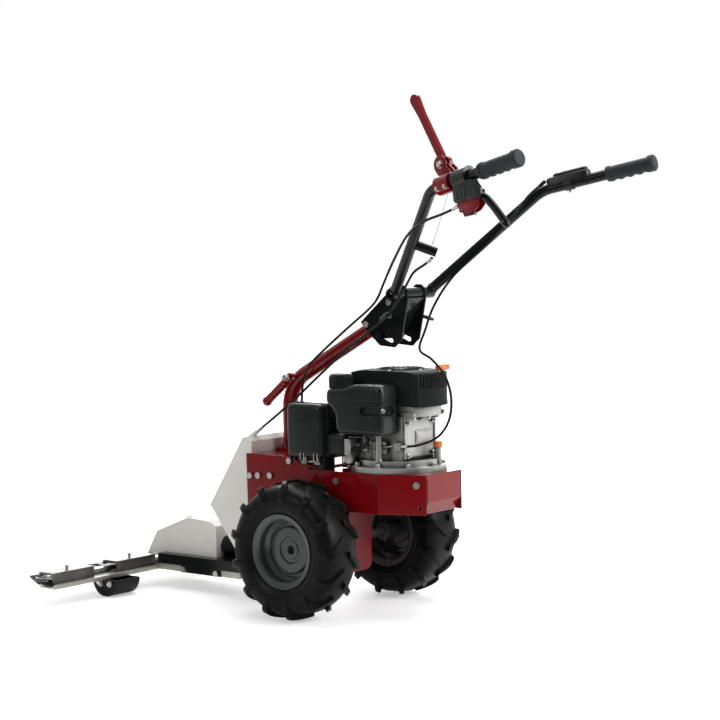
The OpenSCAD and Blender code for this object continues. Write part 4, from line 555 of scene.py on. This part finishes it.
for x, z in ((-98, 422), (-62, 422), (-98, 395), (-62, 395)):
    lathe(studs, (x, 108, z), LEFT, [(3.8, 0), (3.8, 1.6), (2.6, 2.8)], 18)
hex_head(studs, toward((-126, 81, 403), LEFT), 9, 6, 7)
piece("carburettor_screws", studs, zinc)
fuel_hose = bmesh.new()
sweep(fuel_hose, [(-150, 98, 432), (-150, 100, 424), (-142, 106, 410), (-122, 108, 402), (-106, 104, 402),
                  (-101, 100, 404)], 4.0, 12)
piece("fuel_hose", fuel_hose, rubber)

# FUEL TANK
# Blow-moulded black tank with a pinched seam, a cut lower front corner and a low shoulder under the cap.
# A deep groove with a screw runs along its outer face to the back; the ribbed cap turns on the filler neck.


def carve(shape, tool):
    """Cuts one closed shape out of another."""
    blanks = [solid("blank", drawn) for drawn in (shape, tool)]
    cut = blanks[0].modifiers.new("cut", "BOOLEAN")
    cut.operation = "DIFFERENCE"
    cut.object = blanks[1]
    bpy.context.view_layer.update()
    mesh = bpy.data.meshes.new_from_object(blanks[0].evaluated_get(bpy.context.evaluated_depsgraph_get()))
    left = bmesh.new()
    left.from_mesh(mesh)
    for blank in blanks:
        bpy.data.objects.remove(blank)
    return left


plastic = surface("black_plastic", (0.0115, 0.0138, 0.0132), (0.0145, 0.0168, 0.0162), 0.28, patch=12.0,
                  grain=1800.0, relief=0.000004, worn=(0.035, 0.037, 0.037), chips=0.35, dust=0.010,
                  shine=0.35, soften=0.002)
dress(plastic, "fuel_cap")
tank_low, tank_high = (corner * 1000 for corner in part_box("fuel_tank"))
cap_low, cap_high = (corner * 1000 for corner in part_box("fuel_cap"))
cap_mid = (cap_low + cap_high) / 2
rear, nose, foot, side = tank_low.x, tank_high.x, tank_low.z, tank_high.y
top = foot + 120
tank = bmesh.new()
mould(tank, [(rear + 12, foot), (nose - 46, foot), (nose - 36, foot + 4), (nose - 29, foot + 14),
             (nose - 26, foot + 48), (nose - 20, foot + 58), (nose - 7, foot + 66), (nose, foot + 78),
             (nose, top - 24), (nose - 4, top - 15), (nose - 14, top - 11), (nose - 56, top - 8),
             (nose - 74, top - 2), (nose - 90, top), (rear + 14, top), (rear + 4, top - 4), (rear, top - 14),
             (rear, foot + 12), (rear + 3, foot + 3)], soft(tank_low.y, side, 8, 12, 7), upright())
groove = bmesh.new()
mould(groove, rounded(rear - 30, foot + 47, rear + 64, foot + 71, 11.5),
      [(side - 9, 3.0), (side - 5, 0.6), (side + 20, 0)], upright())
tank = carve(tank, groove)
groove = bmesh.new()
mould(groove, rounded(side - 52, foot + 47.2, side + 20, foot + 70.8, 11),
      [(rear - 20, 0), (rear + 5, 0.6), (rear + 9, 3.0)], crossways())
tank = carve(tank, groove)
lathe(tank, (cap_mid.x, cap_mid.y, cap_low.z - 8), UP, [(27, 0), (27, 5), (25, 7.5), (19.5, 8), (19.5, 16)],
      40)
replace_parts(piece("fuel_tank_moulding", tank, plastic, crease=30), "fuel_tank")
seam = bmesh.new()
sweep(seam, [(x, y, foot + 84) for x, y in rounded(rear + 0.4, tank_low.y, nose - 0.4, side - 0.4, 12, 8)],
      1.2, 8, True)
piece("tank_seam", seam, plastic)
screw = bmesh.new()
hex_head(screw, toward((rear + 9.5, side - 20, foot + 59), BACK), 7, 4, 6)
piece("tank_screw", screw, zinc)
crown_cap = bmesh.new()
turn(crown_cap, toward((cap_mid.x, cap_mid.y, cap_high.z - 0.5), UP),
     [(0, 0), (26, 0), (26, 0.6), (24, 2.2), (12, 3.2), (0, 3.4)], 48)
piece("cap_crown", crown_cap, plastic, "cap")

# COOLING SHROUD AND STARTER
# Injection-moulded fan housing over the flywheel: round, flat beside the tank and slotted for air behind.
# The starter cover is screwed on top; its cord comes up through a guide under an orange handle.
shroud_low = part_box("cooling_shroud")[0].z * 1000
shroud_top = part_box("cooling_shroud")[1].z * 1000
lip_r, wall_r, flat_y = 119.5, 118.6, 57.5
shroud = bmesh.new()
turn(shroud, Matrix.Translation((crank_x, 0, 0)),
     [(0, shroud_low), (lip_r, shroud_low), (lip_r, shroud_low + 7), (wall_r, shroud_low + 8),
      (wall_r, shroud_top - 16)]
     + [(wall_r - 10 * (1 - cos(k * 0.26)), shroud_top - 14 + 12 * sin(k * 0.26)) for k in range(1, 6)]
     + [(95.5, shroud_top + 1.2), (79.5, shroud_top + 3), (0, shroud_top + 3)], 240)
side_cut = bmesh.new()
mould(side_cut, [(-300, flat_y), (-30, flat_y), (-30, 140), (-300, 140)],
      [(shroud_low - 10, 0), (shroud_top + 20, 0)])
shroud = carve(shroud, side_cut)
slots = bmesh.new()
for k in range(17):
    mould(slots, rounded(108, -1.5, 130, 1.5, 1.4), [(shroud_top - 38, 0), (shroud_top - 3, 0)],
          Matrix.Translation((crank_x, 0, 0)) @ Matrix.Rotation(radians(155 + 3.7 * k), 4, "Z"))
shroud = carve(shroud, slots)
fan_plastic = surface("fan_plastic", (0.016, 0.0185, 0.018), (0.020, 0.0225, 0.022), 0.55, grain=900.0,
                      relief=0.00003, worn=(0.05, 0.052, 0.05), chips=0.3, dust=0.012, shine=0.03)
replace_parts(piece("shroud_moulding", shroud, fan_plastic, crease=30), "cooling_shroud")
cover_y = -14
cover = bmesh.new()
turn(cover, toward((crank_x, cover_y, shroud_top + 1), UP),
     [(0, 0), (58, 0), (58, 2.6), (55, 4.2), (26, 5.2), (24, 4.2), (0, 4.6)], 72)
for k in range(24):
    mould(cover, rounded(29, -1.6, 52, 1.6, 1.5), [(3.0, 0), (5.6, 0), (6.2, 0.6)],
          Matrix.Translation((crank_x, cover_y, shroud_top + 1)) @ Matrix.Rotation(tau * k / 24, 4, "Z"))
piece("starter_cover", cover, fan_plastic, crease=30)
orange = surface("orange_plastic", (0.72, 0.20, 0.035), (0.62, 0.15, 0.025), 0.38, patch=40.0, grain=2400.0,
                 relief=0.00004, worn=(0.80, 0.36, 0.15), chips=0.4, dust=0.04)
dress(orange, "starter_handle", "oil_dipstick")
cord_x, cord_y = -266, -44
guide = bmesh.new()
turn(guide, toward((cord_x, cord_y, shroud_top - 12), UP),
     [(4.4, 0), (10, 0), (10, 10), (8.4, 12), (4.4, 12)], 28, True)
piece("cord_guide", guide, plastic)
cord = bmesh.new()
weld(cord, [(cord_x, cord_y, shroud_top + 2 - 1.6 * k) for k in range(42)], 1.9, False)
piece("starter_cord", cord, rubber, "pull_handle")
cover_screws = bmesh.new()
for x, y in arc(crank_x, cover_y, 64, 30, 318, 4):
    hex_head(cover_screws, toward((x, y, shroud_top + 1.4), UP), 6, 3, 5)
piece("cover_screws", cover_screws, zinc)

# AIR FILTER
# Moulded filter box in two halves with a proud seam; ribs stiffen its foot.
# Two sprung latches clip the outer half on; an elbow leads to the carburettor beside a pressed air guide.
filter_low, filter_high = (corner * 1000 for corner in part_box("air_filter_box"))
rear, nose = filter_low.x, filter_high.x
box = bmesh.new()
mould(box, rounded(rear, 54.2, nose, 106, 14, 6), soft(377, 509, 4, 10))
mould(box, rounded(rear + 1, 377, nose - 1, 508, 15, 7), soft(105.8, 129.8, 0, 10), upright())
mould(box, rounded(rear - 1, 375.6, nose + 1, 510, 16, 7), [(104, 0.8), (104.8, 0), (107.2, 0), (108, 0.8)],
      upright())
mould(box, rounded(rear + 6, 70, rear + 26, 114, 4), [(349, 0), (392, 0)])
for k in range(8):
    mould(box, rounded(rear + 8 + k * 13, 100, rear + 12 + k * 13, 128.0, 1.8),
          [(369, 1), (371, 0), (392, 0)])
made = piece("filter_moulding", box, plastic, crease=30)
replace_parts(made, "air_filter_box")
latches = bmesh.new()
for x in (rear + 12, rear + 54):
    sweep(latches, [(x, 126, 392), (x, 131, 386), (x, 131, 372), (x + 1, 127, 365), (x + 10, 127, 365),
                    (x + 11, 131, 372), (x + 11, 131, 386), (x + 11, 126, 392)], 1.5, 8)
    mould(latches, rounded(x - 1, 362, x + 12, 378, 2.5), soft(121, 124, 0.6, 0.8), upright())
piece("filter_latches", latches, zinc)
elbow = bmesh.new()
mould(elbow, rounded(-88, 60, -26, 112, 13, 6), soft(384, 437, 9, 9))
piece("intake_elbow", elbow, plastic, crease=30)
guide_y = 51.2
air_guide = bmesh.new()
mould(air_guide, rounded(-99, 350, -31, 483, 4), soft(0, 2.4, 0.6, 0.6), upright(guide_y))
for k in range(4):
    mould(air_guide, rounded(-92, 364 + k * 26, -38, 370 + k * 26, 2.8), soft(2, 4.4, 0, 1.6),
          upright(guide_y))
piece("air_guide", air_guide, plastic)

# MUFFLER
# Pressed sheet-steel silencer on a flanged stub, stained brown by heat, with a ribbed guard on its face.
# The short outlet pipe points down and away from the user.
exhaust = surface("exhaust_steel", (0.20, 0.17, 0.14), (0.10, 0.085, 0.075), 0.48, metal=0.8, patch=26.0,
                  grain=700.0, relief=0.00008, worn=(0.34, 0.30, 0.26), dust=0.08)
dress(exhaust, "muffler")
guard = bmesh.new()
right = upright(-123, 1, -1)
mould(guard, rounded(-114, 391, -2, 468, 10), soft(0, 4, 0, 2), right)
for k in range(7):
    for lift in (0, 1):
        mould(guard, rounded(-104 + k * 14, 402 + lift * 30, -98 + k * 14, 426 + lift * 30, 2.9),
              soft(3, 7, 0, 2), right)
piece("muffler_guard", guard, exhaust)
outlet = bmesh.new()
turn(outlet, toward((-18, -110, 392), (0.2, -0.5, -0.85)), [(6.5, 0), (9, 0), (9, 24), (6.5, 24)], 24, True)
piece("muffler_outlet", outlet, exhaust)

# BELT DRIVE
# Under the deck a V-belt runs from the crankshaft pulley to the gearbox input; a sprung idler tightens it.
# Shafts and arm are turned and plated, the pulleys are bare grey iron with bright running faces.
dress(iron, "flywheel", "drive_pulley")
dress(zinc, "crankshaft", "input_shaft", "idler_arm")
dress(rubber, "drive_belt")

# KNIFE DRIVE AND BAR CARRIER
# A black-painted folded tray carries the knife shaft tube forward; two plated bars tie it to the finger bar.
# An ivory pressed hood covers crank disc and rocker at its front end.
black_enamel = surface("black_enamel", (0.0055, 0.0065, 0.007), (0.008, 0.009, 0.0095), 0.18, grain=400.0,
                       relief=0.000006, worn=(0.05, 0.049, 0.048), chips=0.5, dust=0.006, shine=0.26)
galvanised = surface("galvanised", (0.56, 0.55, 0.50), (0.46, 0.455, 0.42), 0.40, metal=0.8, patch=30.0,
                     relief=0.00003, worn=(0.40, 0.39, 0.36), dust=0.06, cells=140.0, stretch=(1.0, 0.6, 1.0))
dress(black_enamel, "bar_carrier")
dress(ivory, "knife_drive_case")
dress(galvanised, "carrier_bars")
dress(zinc, "pto_shaft", "knife_rocker")

# CUTTER BAR
# A flat galvanised bar carries cast fingers, pressed hold-down clips and screws; the knife slides between.
# The knife sections are ground steel with bright edges on a plain back; a dark shoe closes each end.
dress(galvanised, "finger_bar")
dress(iron, "fingers")
dress(zinc, "bar_screws")
# The pressed steel of the hold-downs carries painted shade in its corners from an occlusion mask.
pressed_steel = surface("pressed_steel", (0.20, 0.196, 0.185), (0.13, 0.128, 0.122), 0.36, metal=0.9,
                        patch=24.0, grain=600.0, worn=(0.42, 0.41, 0.39), dust=0.03, painted_shade=0.6)
dress(pressed_steel, "hold_downs")
blade_steel = surface("blade_steel", (0.42, 0.42, 0.42), (0.30, 0.30, 0.30), 0.28, metal=1.0, patch=18.0,
                      grain=500.0, worn=(0.62, 0.62, 0.60), chips=0.8, stretch=(0.15, 1.0, 1.0), dust=0.04)
dress(blade_steel, "knife")
shoe_y = 432
for side, name in both_sides:
    shoe = bmesh.new()
    rings = []
    for x, wide, low, high in ((590, 3, 49, 56), (602, 5, 48, 60), (620, 5, 48, 61), (636, 3, 50, 59),
                               (645, 1.5, 52, 57)):
        rings.append([shoe.verts.new((x, side * (shoe_y + w * wide), z)) for w, z in (
            (-0.5, low), (0.6, low), (1.0, low + 4), (1.0, high - 5), (0.6, high), (-0.5, high))])
    skin(shoe, rings)
    piece("end_shoe_" + name, shoe, black_enamel, crease=30)

# SKIDS
# Half-round runners of pressed and welded steel under the bar, painted black; the sole is rubbed bare.
# Two bolts on each end face hold them to the bar.
skid_paint = surface("skid_paint", (0.008, 0.0085, 0.009), (0.013, 0.013, 0.013), 0.36, grain=800.0,
                     relief=0.00005, worn=(0.20, 0.19, 0.18), chips=0.8, dust=0.03, shine=0.15, soften=0.002)
dress(skid_paint, "skids")
skid_y, skid_half = 220, 40
skid_bolts = bmesh.new()
for side in (-1, 1):
    for face in (-1, 1):
        for x in (574, 606):
            hex_head(skid_bolts, toward((x, side * skid_y + face * skid_half, 32), (0, face, 0)), 10, 5, 8)
piece("skid_bolts", skid_bolts, zinc)

# HANDLEBAR BRACKET AND TUBES
# Two slotted black plates hold the hinge with its cross tube; a lock bolt sets the height in the arc slots.
# The two bent steel tubes are welded to the cross tube; plates, hinge and tubes are enamelled black.
dress(black_enamel, "bracket_plates", "handle_hinge", "handle_tube_left", "handle_tube_right", "cable_stop")
beads = bmesh.new()
for side in (1, -1):
    tube_way = Vector((-229, side * 155, 239)).normalized()
    foot = Vector((-208, side * 66, 772))
    weld(beads, circle(foot + tube_way * 16, tube_way, 13.6, 60), 1.6)
piece("handle_welds", beads, black_enamel, "handlebar")
hook = bmesh.new()
sweep(hook, circle((-217, -52, 712), (-0.3, -0.15, 0.93), 14, 40), 3.2, 12, True)
sweep(hook, [(-212, -36, 716), (-213, -40, 715)], 4.5, 12)
piece("cable_ring", hook, rubber)
barrel = bmesh.new()
barrel_way = Vector((72, -18, -40)).normalized()
turn(barrel, toward(Vector((-192, 68, 722)) - barrel_way * 2, barrel_way),
     [(3.4, 0), (8.5, 0), (9.5, 1), (9.5, 27), (8.5, 28), (3.4, 28)], 28, True)
sweep(barrel, [(-180, 57, 715), (-180, 46, 716), (-180, 37, 717)], 3.5, 10)
piece("cable_guide", barrel, black_enamel)

# GRIPS
# Rubber sleeves pushed onto the tubes, with a collar in front, finger hollows below and a rim at the end.
# Fine rings are moulded round the middle, and the hand has polished the crests.
grip_x = Vector((-0.9572, 0.2046, 0.2046))
grip_y = Vector((-0.2090, -0.9779, 0.0))
grip_z = Vector((0.2001, -0.0428, 0.9788))
grip_root = Vector((-437, 221, 1011))
grip_start, grip_facets = 168.3, 44


def on_grip(x, y, z, side=1):
    """A point beside a grip: x back along the tube, y inward, z up; side is -1 on the right."""
    point = grip_root + grip_x * x + grip_y * y + grip_z * z
    point.y *= side
    return point


grip_rubber = surface("grip_rubber", (0.026, 0.030, 0.033), (0.032, 0.036, 0.039), 0.55, grain=1600.0,
                      relief=0.00003, worn=(0.05, 0.052, 0.055), chips=0.3, dust=0.02, shine=0.2)
for side, name in both_sides:
    sleeve = bmesh.new()
    rings = []
    for x in [0, 0.6, 2, 6, 8, 9] + [10 + 0.8 * k for k in range(116)] + [103.5, 105, 117, 119, 120.4, 121.2]:
        if x < 9:
            r, hollow = 17.2 + min(1.6, x * 1.2), 0.0
        elif x < 103:
            r, hollow = 16.6 + 0.30 * sin(x * 1.9), 1.5 + 1.5 * cos((x - 10) * tau / 23)
        else:
            r, hollow = min(19.8, 17.0 + (x - 103) * 1.4) - max(0.0, x - 117) * 1.1, 0.0
        ring = []
        for k in range(grip_facets):
            a = tau * k / grip_facets
            out = r + max(0.0, -cos(a)) ** 2 * hollow
            ring.append(sleeve.verts.new(on_grip(grip_start + x, out * sin(a), out * cos(a), side)))
        rings.append(ring)
    skin(sleeve, rings)
    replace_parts(piece("grip_sleeve_" + name, sleeve, grip_rubber, "handlebar", 42), "grip_" + name)

# LEFT-HAND CONTROLS
# A red bracket holds the long lever between two cheeks; its tail pulls the bare wire against a spring.
# By the grip a black moulded clamp hangs a red casing with the safety catch and the black squeeze lever.


def through(points):
    """A smooth route through the points."""
    steps = 7
    points = [Vector(p) for p in points]
    ends = [points[0] * 2 - points[1]] + points + [points[-1] * 2 - points[-2]]
    route = []
    for a, b, c, d in zip(ends, ends[1:], ends[2:], ends[3:]):
        for k in range(steps):
            t = k / steps
            route.append(0.5 * (2 * b + (c - a) * t + (2 * a - 5 * b + 4 * c - d) * t * t
                                + (3 * b - a - 3 * c + d) * t * t * t))
    return route + [points[-1]]


lever_red = surface("lever_red", red, deep_red, 0.16, grain=320.0, relief=0.000003,
                    worn=(0.12, 0.02, 0.02), chips=0.2, dust=0.004, shine=0.35)
dress(lever_red, "lever_bracket", "blade_lever")
dress(plastic, "lever_clamp", "safety_catch")
hinge_x, hinge_z = 152, -46
bar = bmesh.new()
route = through([on_grip(x, 0, z) for x, z in (
    (hinge_x, hinge_z), (162, -52), (172, -61), (188, -81), (204, -104), (224, -134))])
last = len(route) - 1
sweep(bar, route, [min(6 + 0.2 * i, 8.8, 3 + 3.6 * (last - i)) for i in range(last + 1)], 20)
lathe(bar, on_grip(hinge_x, -5.8, hinge_z), grip_y, [(7.4, 0), (8, 0.6), (8, 11), (7.4, 11.6)], 32)
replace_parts(piece("squeeze_lever_bar", bar, black_enamel, "squeeze_lever"), "drive_lever")
body = bmesh.new()
flat = Matrix((grip_x, grip_z, grip_y)).transposed().to_4x4()
flat.translation = on_grip(0, 0, 0)
mould(body, [(88, -53), (136, -53), (146, -44), (142, -22), (134, -8), (90, -8), (84, -24), (82, -46)],
      soft(-17.2, 17.2, 4, 4), flat)
for k in range(3):
    mould(body, rounded(94 + 13 * k, -46, 100 + 13 * k, -26, 2.8), soft(-18.4, 18.4, 1.2, 1.2), flat)
mould(body, [(130, -54), (166, -56), (173, -50), (174, -36), (162, -18), (138, -10)],
      soft(-17.4, -10.2, 0.8, 0.8), flat)
piece("lever_body", body, plastic, "handlebar", 30)
casing = bmesh.new()
for flank in (-10, 6.8):
    mould(casing, [(87, -56), (90, -68), (100, -76), (120, -82), (140, -79), (154, -70), (161, -54),
                   (160, -36), (88, -36)], soft(flank, flank + 3.2, 1, 1), flat)
mould(casing, [(90, -62), (132, -62), (132, -37), (89, -37), (88, -50)], soft(-7, 7, 0, 0), flat)
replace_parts(piece("casing_shell", casing, lever_red, "handlebar", 30), "lever_casing")
nipple = bmesh.new()
lathe(nipple, on_grip(75, 0.4, -56), grip_x, [(4.8, 0), (5.6, 0.8), (5.6, 6), (4, 7), (4, 14)], 24)
piece("drive_cable_adjuster", nipple, zinc, "handlebar")
cheek = bmesh.new()
mould(cheek, [(34, -11), (72, -11), (70, 12)] + arc(24, 50, 21, -20, 205, 25), soft(14.6, 17.4, 1.2, 0), flat)
piece("lever_cheek", cheek, lever_red, "handlebar", 30)
pins = bmesh.new()
for y, way in ((42.5, 1), (14.6, -1)):
    hex_head(pins, toward(on_grip(26, y, 50), grip_y * way), 13, 6, 9)
piece("long_lever_bolt", pins, zinc, "handlebar")
pins = bmesh.new()
for way in (1, -1):
    lathe(pins, on_grip(hinge_x, 9.9 * way, hinge_z), grip_y * way, [(5.6, 0), (5.6, 1.4), (3.4, 2.8)], 24)
    lathe(pins, on_grip(98, 9.9 * way, -72), grip_y * way, [(3.6, 0), (3.6, 1.0), (2.2, 1.8)], 20)
piece("casing_rivets", pins, zinc, "handlebar")
clamps = bmesh.new()
for x, z in ((40, -14), (66, -14)):
    hex_head(clamps, toward(on_grip(x, -17, z + 6), -grip_y), 9, 5, 7)
for x in (98, 122):
    hex_head(clamps, toward(on_grip(x, 7.5, -28), grip_y), 8, 4, 6)
piece("clamp_screws", clamps, zinc, "handlebar")
spring = bmesh.new()
wire_spring(spring, on_grip(33, 30, 12), on_grip(66, 30, 20), 5.0, 1.0, 9)
piece("lever_spring", spring, zinc, "handlebar")

# THROTTLE
# A low oval plastic box on the right tube, held by a clip with one screw below.
# The thumb lever on top is a rounded paddle with cross ribs, turning on a plated screw.
right_grip = Matrix([(way.x, -way.y, way.z) for way in (grip_x, grip_y, grip_z)]).transposed().to_4x4()
right_grip.translation = on_grip(0, 0, 0, -1)
box = bmesh.new()
mould(box, rounded(16, -17.4, 128, 17.4, 17, 10), soft(5, 24.6, 0, 6), right_grip)
turn(box, right_grip @ Matrix.Translation((60, 0, 0)) @ Matrix.Rotation(pi / 2, 4, "Y"),
     [(13.1, 0), (15.2, 0), (15.8, 0.6), (15.8, 21.4), (15.2, 22), (13.1, 22)], 40, True)
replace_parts(piece("throttle_box", box, plastic, "handlebar", 30), "throttle_housing")
paddle = bmesh.new()
mould(paddle, arc(111, 0, 13, -90, 90, 12) + arc(50, 0, 15, 90, 270, 12),
      soft(25.2, 31.4, 0.6, 4.6), right_grip)
for k in range(5):
    mould(paddle, rounded(96 + 4.6 * k, -6.5, 97.8 + 4.6 * k, 6.5, 0.8), [(30.4, 0), (31.8, 0), (32.3, 0.5)],
          right_grip)
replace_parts(piece("throttle_paddle", paddle, plastic, "thumb_lever", 30), "throttle_lever")
screw = bmesh.new()
turn(screw, right_grip @ Matrix.Translation((52, 0, 31)), [(0, 0), (5, 0), (5, 1), (3.4, 2.2), (0, 2.4)], 24)
piece("paddle_screw", screw, zinc, "thumb_lever")
screw = bmesh.new()
hex_head(screw, right_grip @ Matrix.Translation((71, 0, -15)) @ Matrix.Rotation(pi, 4, "X"), 8, 5, 7)
piece("throttle_screw", screw, zinc, "handlebar")

# CABLES
# Plastic-sheathed cables run from the levers past the bracket to the cover, the top plate and the engine.
# Their plated end sleeves sit in the stops; the bare wire joins the long lever's tail to its stop.
sheath = surface("cable_sheath", (0.008, 0.0085, 0.009), (0.012, 0.0125, 0.013), 0.38, patch=20.0,
                 grain=2000.0, dust=0.012, shine=0.14)
routes = {
    "clutch_cable": [
        (-357, 113, 857), (-330, 106, 843), (-290, 96, 824), (-258, 84, 793), (-230, 82, 757),
        (-192, 68, 722), (-120, 50, 682), (-40, 38, 636), (40, 36, 578), (110, 48, 518), (170, 70, 464),
        (212, 88, 428)],
    "drive_cable": [
        (-523, 239, 972), (-480, 230, 958), (-404, 214, 938), (-340, 186, 908), (-268, 140, 856),
        (-204, 100, 798), (-164, 72, 764), (-120, 50, 736), (-40, 38, 686), (30, 40, 634), (82, 38, 592),
        (104, 37, 545), (109, 37, 480), (110, 40, 430), (110, 44, 391)],
    "throttle_cable": [
        (-454.5, -210, 1033.5), (-420, -188, 998), (-392, -160, 948), (-336, -132, 884), (-268, -92, 812),
        (-228, -66, 742), (-206, -56, 680), (-206, -34, 636), (-262, -6, 616), (-314, 14, 582),
        (-340, 24, 532), (-342, 36, 478), (-318, 50, 438), (-272, 64, 418), (-224.5, 68, 412)]}
for name, points in routes.items():
    cable = bmesh.new()
    sweep(cable, through(points), 3.0, 14)
    made = piece(name + "_sheath", cable, sheath, None)
    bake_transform(made)
    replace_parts(made, name)
    for point, follower, body in ((points[0], points[1], "handlebar"), (points[-1], points[-2], "chassis")):
        way = (Vector(follower) - Vector(point)).normalized()
        sleeve = bmesh.new()
        turn(sleeve, toward(Vector(point) + way * 1.0, way),
             [(3.1, 0), (4.6, 0), (4.6, 13), (4.2, 14), (4.2, 18), (3.1, 18)], 20, True)
        if name == "throttle_cable" and body == "handlebar":
            piece(name + "_boot_" + body, sleeve, rubber, body)
        else:
            piece(name + "_sleeve_" + body, sleeve, zinc, body)
wire = bmesh.new()
sweep(wire, through([(-475, 197, 1031.5), (-420, 158, 956), (-360, 116, 889)]), 1.0, 10)
made = piece("lever_wire_strand", wire, zinc, None)
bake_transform(made)
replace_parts(made, "lever_wire")

# STUDIO
# The machine stands on a seamless white floor under large soft lamps, the main one behind it on the right.
# The backdrop beyond it is white, and the room on the near side is dim; to glossy rays the near floor also
# turns dark grey, a painted dark reflection, so that gloss shows something dark.


def ray(owner, kind):
    """1 for rays of one kind, else 0."""
    return shader(owner, "LightPath", {}, kind)


ground = bpy.data.materials.new("studio_floor")
ground.use_nodes = True
backdrop_way = (0.6276, -0.7785, 0.0)
spot = shader(ground, "TexCoord", {}, "Object")
reach = shader(ground, "VectorMath", {"Vector": spot}, 1, operation="LENGTH")
behind = shader(ground, "VectorMath", {"Vector": spot, "Vector_001": backdrop_way}, 1,
                operation="DOT_PRODUCT")
speckle = shader(ground, "TexNoise", {"Scale": 3.0, "Detail": 4.0})
tone = over(ground, span(ground, speckle, 0.3, 0.7), (0.90, 0.90, 0.90, 1.0), (0.88, 0.88, 0.88, 1.0))
# Painted dark reflection: to glossy rays only, the floor on the near side turns dark grey; camera rays still
# see it white.
gloss_dark_share = times(ground, ray(ground, "Is Glossy Ray"),
            times(ground, span(ground, behind, 0.2, -1.0), span(ground, reach, 0.8, 2.2)))
tone = over(ground, gloss_dark_share, tone, (0.05, 0.05, 0.05, 1.0))
seen = times(ground, ray(ground, "Is Camera Ray"), span(ground, reach, 0.9, 3.2, 0.42, 0.85))
mirrored = times(ground, ray(ground, "Is Glossy Ray"), span(ground, behind, -0.5, 2.5, 0.0, 0.85))
floor_glow = shader(ground, "Math", {"Value": seen, "Value_001": mirrored}, operation="MAXIMUM")
white = (1.0, 1.0, 1.0, 1.0)
connect(ground, ground.node_tree.nodes["Principled BSDF"], {
    "Base Color": tone, "Roughness": 0.6, "Emission Color": white, "Emission Strength": floor_glow})
mesh = bpy.data.meshes.new("studio_floor")
mesh.from_pydata([(-30, -30, 0), (30, -30, 0), (30, 30, 0), (-30, 30, 0)], [], [(0, 1, 2, 3)])
mesh.materials.append(ground)
floor = add_object("studio_floor", mesh)


def lamp(name, place, aim, size, power):
    """A square soft lamp aimed at a point."""
    light = bpy.data.lights.new(name, "AREA")
    light.energy = power
    light.size = size
    made = add_object(name, light)
    made.location = place
    made.rotation_euler = (Vector(aim) - Vector(place)).to_track_quat("-Z", "Y").to_euler()


lamp("key_lamp", (-3.4, -1.2, 2.2), (-0.1, 0, 0.5), 2.2, 120)
lamp("top_lamp", (0.3, -0.8, 3.6), (0, 0, 0), 3.0, 90)
lamp("back_lamp", (3.0, -3.2, 2.0), (0, 0, 0.6), 2.4, 80)
lamp("fill_lamp", (1.4, 4.2, 2.2), (0, 0, 0.5), 1.6, 40)

world = bpy.data.worlds.new("studio")
world.use_nodes = True
bpy.context.scene.world = world
bright = 0.30
for kind in ("Is Camera Ray", "Is Transmission Ray"):
    bright = shader(world, "Math", {"Value": ray(world, kind), "Value_001": bright}, operation="MAXIMUM")
backward = shader(world, "VectorMath", {"Vector": shader(world, "TexCoord", {}, "Generated"),
                                        "Vector_001": backdrop_way}, 1, operation="DOT_PRODUCT")
bright = shader(world, "Mix", {"Factor_Float": ray(world, "Is Glossy Ray"), "A_Float": bright,
                               "B_Float": span(world, backward, -0.15, 0.6, 0.12, 1.0)}, 0, data_type="FLOAT")
connect(world, world.node_tree.nodes["Background"], {"Color": white, "Strength": bright})

# CAMERA
# It stands behind and to the left of the machine, a little above the handlebar bracket, with a long lens.
camera = add_object("camera", bpy.data.cameras.new("camera"))
heading, pitch, roll = radians(38.87), radians(3.73), radians(-0.91)
ahead = Vector((sin(heading) * cos(pitch), -cos(heading) * cos(pitch), -sin(pitch)))
flat_right = Vector((-cos(heading), -sin(heading), 0))
flat_up = flat_right.cross(ahead)
right_way = flat_right * cos(roll) + flat_up * sin(roll)
up_way = flat_up * cos(roll) - flat_right * sin(roll)
place = Matrix((right_way, up_way, -ahead)).transposed().to_4x4()
aim, distance = Vector((-0.0491, 0.0, 0.6083)), 4.783
place.translation = aim - ahead * distance
camera.matrix_world = place
camera.data.sensor_width = 36.0
camera.data.lens = 98.15
bpy.context.scene.camera = camera
bpy.context.scene.view_settings.view_transform = "Standard"
